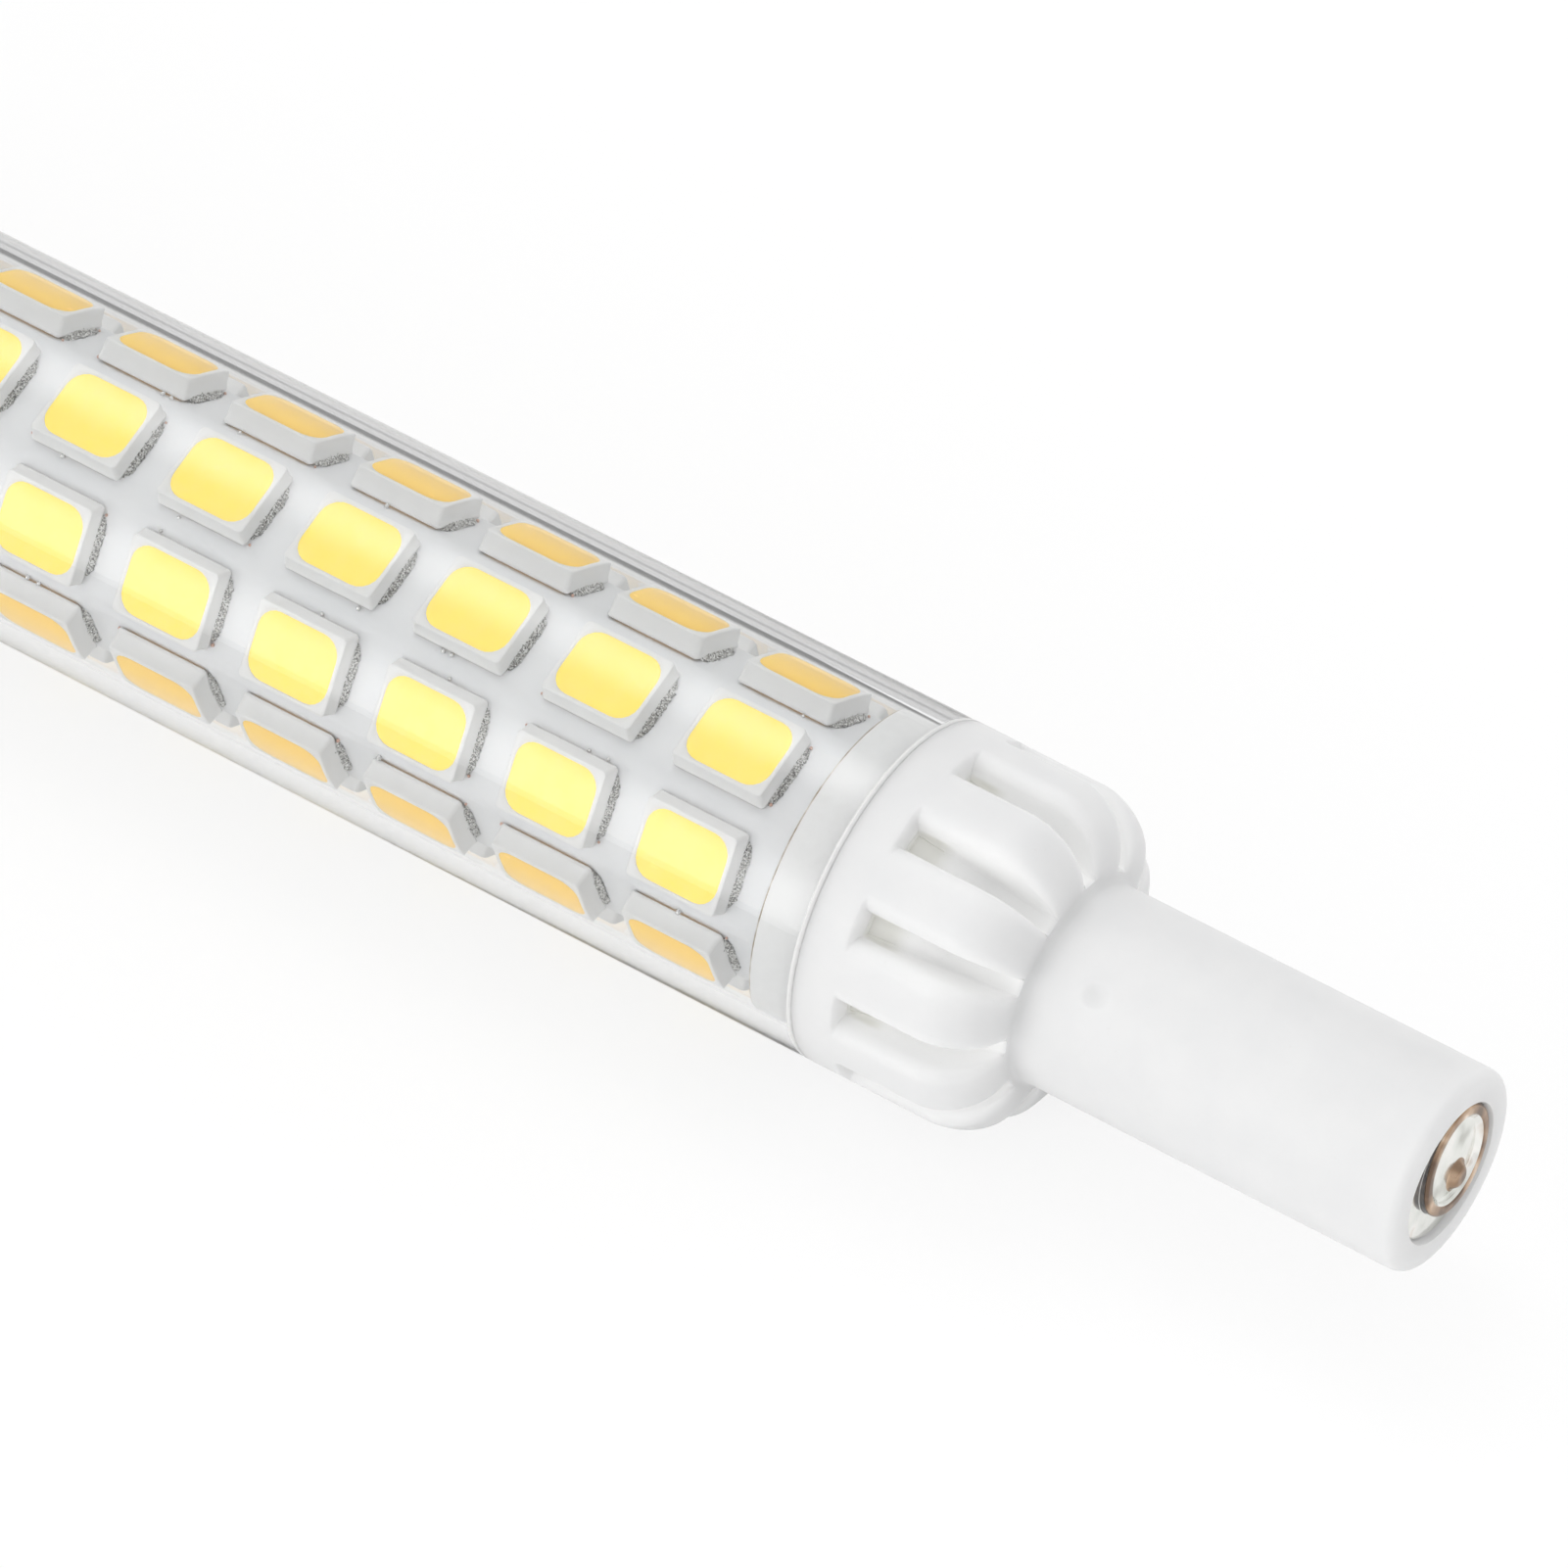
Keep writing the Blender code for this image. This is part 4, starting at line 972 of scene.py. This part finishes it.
def build_caps(ceramic):
    """Rings of the turned profile, sunk where the grooves and the moulding dimple lie."""
    across = groove_columns()
    columns = GROOVES * len(across)
    angles = np.concatenate([GROOVE_PHASE + (k * GROOVE_PITCH + across) / BULB_R for k in range(GROOVES)])
    offsets = np.tile(np.where(across > GROOVE_PITCH / 2, GROOVE_PITCH - across, across), GROOVES)
    dimple_start, dimple_end, _ = DIMPLE_RINGS
    rings, depths = [], []
    for x, r in body_profile() + post_profile():
        radii = np.full(columns, float(r))
        if GROOVE_START - GROOVE_END_EDGE < x <= BODY_LENGTH and r > POST_R + ROOT_FILLET:
            radii = np.array([cap_surface(x, r, offset) for offset in offsets])
        if dimple_start < x < dimple_end and abs(r - POST_R) < HAIR:
            around = (angles - DIMPLE_ANGLE + math.pi) % TURN - math.pi
            reach = np.hypot(x - DIMPLE_X, around * POST_R) / DIMPLE_R
            radii = radii - DIMPLE_DEPTH * np.clip(1 - reach ** 2, 0, 1)
        rings.append(np.stack([np.full(columns, x), radii * np.sin(angles), radii * np.cos(angles)], axis=1))
        grooved = GROOVE_START - GROOVE_END_EDGE < x < dimple_start
        depths.append(np.clip((r - radii) / GROOVE_DEPTH, 0, 1) if grooved else np.zeros(columns))
    faces = grid_faces(len(rings), columns, True, True)
    end_pieces(
        "ceramic_cap", np.concatenate(rings), faces, [ceramic], "end_cap", JOINT_X, "white_ceramic",
        sharp=CAP_EDGE_ANGLE, depth=np.concatenate(depths),
    )


def build_cement():
    """The bed between spigot and glass, with flux on its inner edge, and the joint's thin skirt."""
    cement = plain_surface("white_cement", (0.95, 0.95, 0.945), (0.98, 0.98, 0.975), 0.8, 0.3, 0.012)
    inner, outer, middle = SPIGOT_R + CEMENT_GAP, GLASS_INNER - CEMENT_GAP, SPIGOT_END / 2
    corners = [(middle, inner), (SPIGOT_END, inner), (SPIGOT_END, outer)]
    corners += [(-JOINT_GAP, outer), (-JOINT_GAP, inner), (middle, inner)]
    profile = rounded(corners, [0] + 4 * [CEMENT_CORNER] + [0], 3)[:-1]
    points, faces = lathe(profile, TURNED_SEGMENTS, closed=True)
    kinds = []
    for (x, radius), (after, _) in zip(profile, profile[1:] + profile[:1]):
        stained = max(x, after) < SPIGOT_END + STAIN_LENGTH and radius > outer - STAIN_DEPTH
        kinds += [1 if stained else 0] * TURNED_SEGMENTS
    stain = flux_material()
    end_pieces(
        "cement_bed", points, faces, [cement, stain], "cement_ring", JOINT_X, "white_cement",
        face_materials=kinds,
    )
    face_x, skirt_x, under = GLUE_GAP - JOINT_GAP, -JOINT_GAP - SKIRT_LENGTH, GLUE_R - SKIRT_UNDER
    corners = [(-GLUE_GAP, inner), (face_x, inner), (face_x, under), (skirt_x, under)]
    corners += [(skirt_x, under + SKIRT_EDGE), (skirt_x + SKIRT_FALL, GLUE_R), (-GLUE_GAP, GLUE_R)]
    points, faces = lathe(corners, TURNED_SEGMENTS, closed=True)
    glue = plain_surface("joint_cement", (0.67, 0.67, 0.665), (0.72, 0.72, 0.715), 0.8, 0.3, 0.004)
    end_pieces("joint_glue", points, faces, [glue], "cement_ring", JOINT_X, "white_cement")


def build_contacts():
    """The pressed button: flange, off-centre rim that leans a little, dish, nipple and hollow shank."""
    waist, front = FLANGE_BACK + FLANGE_THICKNESS, CONTACT_RECESS - CONTACT_BELOW
    floor = front - DISH_DEPTH
    hole_x = SHANK_START + SHANK_HOLE_DEPTH
    nipple_x = floor + NIPPLE_HEIGHT
    rim = np.array(RIM_PLACE)
    nipple = rim + NIPPLE_OFFSET
    plain = rounded([
        (hole_x, AXIS_R), (hole_x, SHANK_HOLE_R), (SHANK_START, SHANK_HOLE_R), (SHANK_START, SHANK_R),
        (FLANGE_BACK, SHANK_R), (FLANGE_BACK, FLANGE_R), (waist, FLANGE_R), (waist, FLANGE_STEP_R),
    ], FLANGE_ROUNDINGS, 4)
    pressed = rounded([
        (waist - RIM_SINK, RIM_FOOT_R), (waist - RIM_SINK, RIM_R), (front, RIM_R), (front, RIM_INNER_R),
        (front - RIM_BEVEL, RIM_INNER_R - RIM_BEVEL), (floor, DISH_R),
        (floor, NIPPLE_BASE_R), (nipple_x, NIPPLE_R), (nipple_x, AXIS_R),
    ], RIM_ROUNDINGS, 7)
    profile = plain + pressed
    shift = [(0.0, 0.0)] * len(plain)
    shift += [tuple(rim if radius > (DISH_R + NIPPLE_BASE_R) / 2 else nipple) for _, radius in pressed]
    points, faces = lathe(profile, CONTACT_SEGMENTS, shift=shift)
    for ring in range(len(plain), len(profile)):
        x, radius = profile[ring]
        own = slice(ring * CONTACT_SEGMENTS, (ring + 1) * CONTACT_SEGMENTS)
        outside = radius > (RIM_R + RIM_INNER_R) / 2
        share = min(max((x - waist) / LEAN_RISE, 0.0), 1.0) if outside else 1.0
        side = (points[own, 1:] - rim) @ LEAN_SIDE
        points[own, 0] -= side * RIM_LEAN * share
    brown_from, brown_to = RIM_INNER_R - BROWN_PAST_RIM[0], RIM_R + BROWN_PAST_RIM[1]
    kinds = []
    for x, radius in profile[:-1]:
        kind = 0
        if brown_from < radius < brown_to and x > waist - HAIR:
            kind = 2 if radius > RIM_R - SHADE_INSIDE_RIM and x < front - RIM_WALL_TOP else 1
        elif radius < NIPPLE_BASE_R + BROWN_PAST_NIPPLE and x > floor - HAIR:
            kind = 1
        kinds += [kind] * CONTACT_SEGMENTS
    shade = plain_surface("rim_shade", (0.10, 0.10, 0.11), (0.2, 0.18, 0.17), 0.25, 0.6, 0.004, Metallic=1.0)
    end_pieces(
        "button_contact", points, faces, [nickel_material(), tarnish_material(), shade], "contact",
        TIP_X - CONTACT_RECESS, "nickel_plate", face_materials=kinds, sharp=CONTACT_EDGE_ANGLE,
    )


# Materials of the pieces kept from the frame


def dress_inner_pieces():
    """What the caps and the roll hide, and the glass lets through in part."""
    wire = plain_surface("tinned_wire", (0.62, 0.6, 0.56), (0.8, 0.78, 0.74), 0.3, 0.2, 0.004, Metallic=1.0)
    woven = woven_material()
    black = plain_surface("black_moulding", (0.02, 0.02, 0.022), (0.05, 0.05, 0.055), 0.5, 0.15, 0.008)
    laminate = plain_surface("green_laminate", (0.03, 0.17, 0.07), (0.05, 0.26, 0.12), 0.45, 1.0, 0.01)
    looks = {
        "feed_wire_left": wire, "feed_wire_right": wire,
        "wire_sleeve_left": woven, "wire_sleeve_right": woven,
        "link_wire_plus": plain_surface(
            "red_insulation", (0.5, 0.03, 0.02), (0.68, 0.07, 0.05), 0.45, 0.4, 0.004,
        ),
        "link_wire_minus": plain_surface(
            "black_insulation", (0.02, 0.02, 0.02), (0.05, 0.05, 0.05), 0.45, 0.4, 0.004,
        ),
        "driver_board": laminate,
        "bridge_rectifier": black, "driver_ic_1": black, "driver_ic_2": black,
        "varistor": plain_surface("varistor_coat", (0.06, 0.08, 0.18), (0.1, 0.13, 0.28), 0.5, 0.3, 0.01),
        "fuse_resistor": plain_surface(
            "fuse_enamel", (0.22, 0.38, 0.33), (0.34, 0.5, 0.44), 0.55, 0.25, 0.01,
        ),
        "smoothing_capacitor": plain_surface(
            "capacitor_sleeve", (0.03, 0.05, 0.1), (0.06, 0.08, 0.15), 0.35, 0.6, 0.004,
        ),
    }
    resistor = plain_surface("resistor_glaze", (0.03, 0.03, 0.035), (0.09, 0.09, 0.1), 0.4, 0.2, 0.006)
    for name in ("sense_resistor_1", "sense_resistor_2", "bleed_resistor"):
        looks[name] = resistor
    for name, made in looks.items():
        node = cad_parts[name]
        if not node.material_slots:
            node.data.materials.append(made)
        for slot in node.material_slots:
            slot.material = made


# Floor, light and camera


def add_sheet(name, left, right, near, far, z):
    """A flat rectangle, in metres."""
    mesh = bpy.data.meshes.new(name)
    mesh.from_pydata([(left, near, z), (right, near, z), (right, far, z), (left, far, z)], [], [(0, 1, 2, 3)])
    sheet = bpy.data.objects.new(name, mesh)
    bpy.context.scene.collection.objects.link(sheet)
    return sheet


def build_floor():
    """A wide pale floor under the tube, with the object's shadow kept faint on its white."""
    floor = add_sheet("floor", -FLOOR_HALF, FLOOR_HALF, -FLOOR_HALF, FLOOR_HALF, CAD_BOX[0][2])
    made = bpy.data.materials.new("pale_floor")
    made.use_nodes = True
    nodes, links = made.node_tree.nodes, made.node_tree.links
    shader = nodes["Principled BSDF"]
    shader.inputs["Base Color"].default_value = (FLOOR_TINT, FLOOR_TINT, FLOOR_TINT, 1)
    shader.inputs["Roughness"].default_value = 0.9
    shader.inputs["Specular IOR Level"].default_value = 0.0
    path = nodes.new("ShaderNodeLightPath")
    shown = shader.outputs["BSDF"]
    for ray, share, glow in FLOOR_GLOWS:
        white = nodes.new("ShaderNodeEmission")
        white.inputs["Strength"].default_value = glow
        part = nodes.new("ShaderNodeMath")
        part.operation = "MULTIPLY"
        part.inputs[1].default_value = share
        links.new(path.outputs[ray], part.inputs[0])
        blend = nodes.new("ShaderNodeMixShader")
        links.new(part.outputs["Value"], blend.inputs["Fac"])
        links.new(shown, blend.inputs[1])
        links.new(white.outputs["Emission"], blend.inputs[2])
        shown = blend.outputs["Shader"]
    links.new(shown, nodes["Material Output"].inputs["Surface"])
    floor.data.materials.append(made)


def build_world():
    """White for the camera. Every other ray sees two long softboxes with soft edges in an even light."""
    world = bpy.data.worlds.new("studio")
    bpy.context.scene.world = world
    world.use_nodes = True
    nodes, links = world.node_tree.nodes, world.node_tree.links

    def calculate(operation, first, second=0.0):
        node = nodes.new("ShaderNodeMath")
        node.operation = operation
        for socket, value in zip(node.inputs, (first, second)):
            if isinstance(value, float):
                socket.default_value = value
            else:
                links.new(value, socket)
        return node.outputs["Value"]

    def falloff(value, middle, inner, outer):
        """One near the middle, and down to nothing from the inner to the outer distance from it."""
        node = nodes.new("ShaderNodeMapRange")
        node.interpolation_type = "SMOOTHSTEP"
        for key, number in (("From Min", inner), ("From Max", outer), ("To Min", 1.0), ("To Max", 0.0)):
            node.inputs[key].default_value = number
        links.new(calculate("ABSOLUTE", calculate("SUBTRACT", value, middle)), node.inputs["Value"])
        return node.outputs["Result"]

    split = nodes.new("ShaderNodeSeparateXYZ")
    links.new(nodes.new("ShaderNodeTexCoord").outputs["Generated"], split.inputs["Vector"])
    around = calculate("ARCTAN2", split.outputs["Y"], split.outputs["Z"])
    along = falloff(split.outputs["X"], *SOFTBOX_ALONG)
    light = EVEN_LIGHT
    for *angles, strength in SOFTBOXES:
        strip = falloff(around, *map(math.radians, angles))
        light = calculate("ADD", calculate("MULTIPLY", calculate("MULTIPLY", strip, along), strength), light)
    lit = nodes["Background"]
    links.new(light, lit.inputs["Strength"])
    lit.inputs["Color"].default_value = (1.0, 1.0, 1.0, 1)
    white = nodes.new("ShaderNodeBackground")
    white.inputs["Color"].default_value = (1.0, 1.0, 1.0, 1)
    white.inputs["Strength"].default_value = 1.0
    path = nodes.new("ShaderNodeLightPath")
    blend = nodes.new("ShaderNodeMixShader")
    links.new(path.outputs["Is Camera Ray"], blend.inputs["Fac"])
    links.new(lit.outputs["Background"], blend.inputs[1])
    links.new(white.outputs["Background"], blend.inputs[2])
    links.new(blend.outputs["Shader"], nodes["World Output"].inputs["Surface"])


def build_edge_cards():
    """Cards on the floor behind the bulb, seen only through the glass, which paint shade into the glass's
    edge as the dark line and the grey strip.
    """
    z = CAD_BOX[0][2] + CARD_LIFT
    for name, near, far, right, shade in CARDS:
        card = add_sheet(name, CARD_LEFT, right, near, far, z)
        made = bpy.data.materials.new(name)
        made.use_nodes = True
        made.node_tree.nodes["Principled BSDF"].inputs["Base Color"].default_value = (shade, shade, shade, 1)
        card.data.materials.append(made)
        card.visible_camera = card.visible_diffuse = card.visible_glossy = card.visible_shadow = False


def build_camera():
    """The camera that the photograph was taken from."""
    towards = math.sin(AXIS_DIP)
    right_x = math.cos(AXIS_DIP) * math.cos(AXIS_SLOPE)
    azimuth = math.acos(right_x)
    elevation = math.acos(towards / math.sin(azimuth))
    right = Vector((math.cos(azimuth), math.sin(azimuth), 0))
    back = Vector((
        math.sin(azimuth) * math.cos(elevation), -math.cos(azimuth) * math.cos(elevation), math.sin(elevation)
    ))
    up = back.cross(right)
    data = bpy.data.cameras.new("camera")
    data.sensor_width = SENSOR_WIDTH
    data.lens = FOCAL_PIXELS / PHOTO_WIDTH * SENSOR_WIDTH
    data.clip_start, data.clip_end = CLIP_START, CLIP_END
    camera = bpy.data.objects.new("camera", data)
    bpy.context.scene.collection.objects.link(camera)
    seen = Vector(((COLUMNS - 1) * PITCH / 2, 0, 0))
    x, y, z = LAST_COLUMN
    place = seen - right * x + up * y + back * z
    turn = Matrix((right, up, back)).transposed()
    camera.matrix_world = Matrix.Translation(place * MM) @ turn.to_4x4()
    bpy.context.scene.camera = camera


build_glass()
build_packages()
build_caps(ceramic_material())
build_cement()
build_contacts()
dress_inner_pieces()
build_floor()
build_world()
build_edge_cards()
build_camera()
bpy.context.scene.view_settings.view_transform = "Standard"
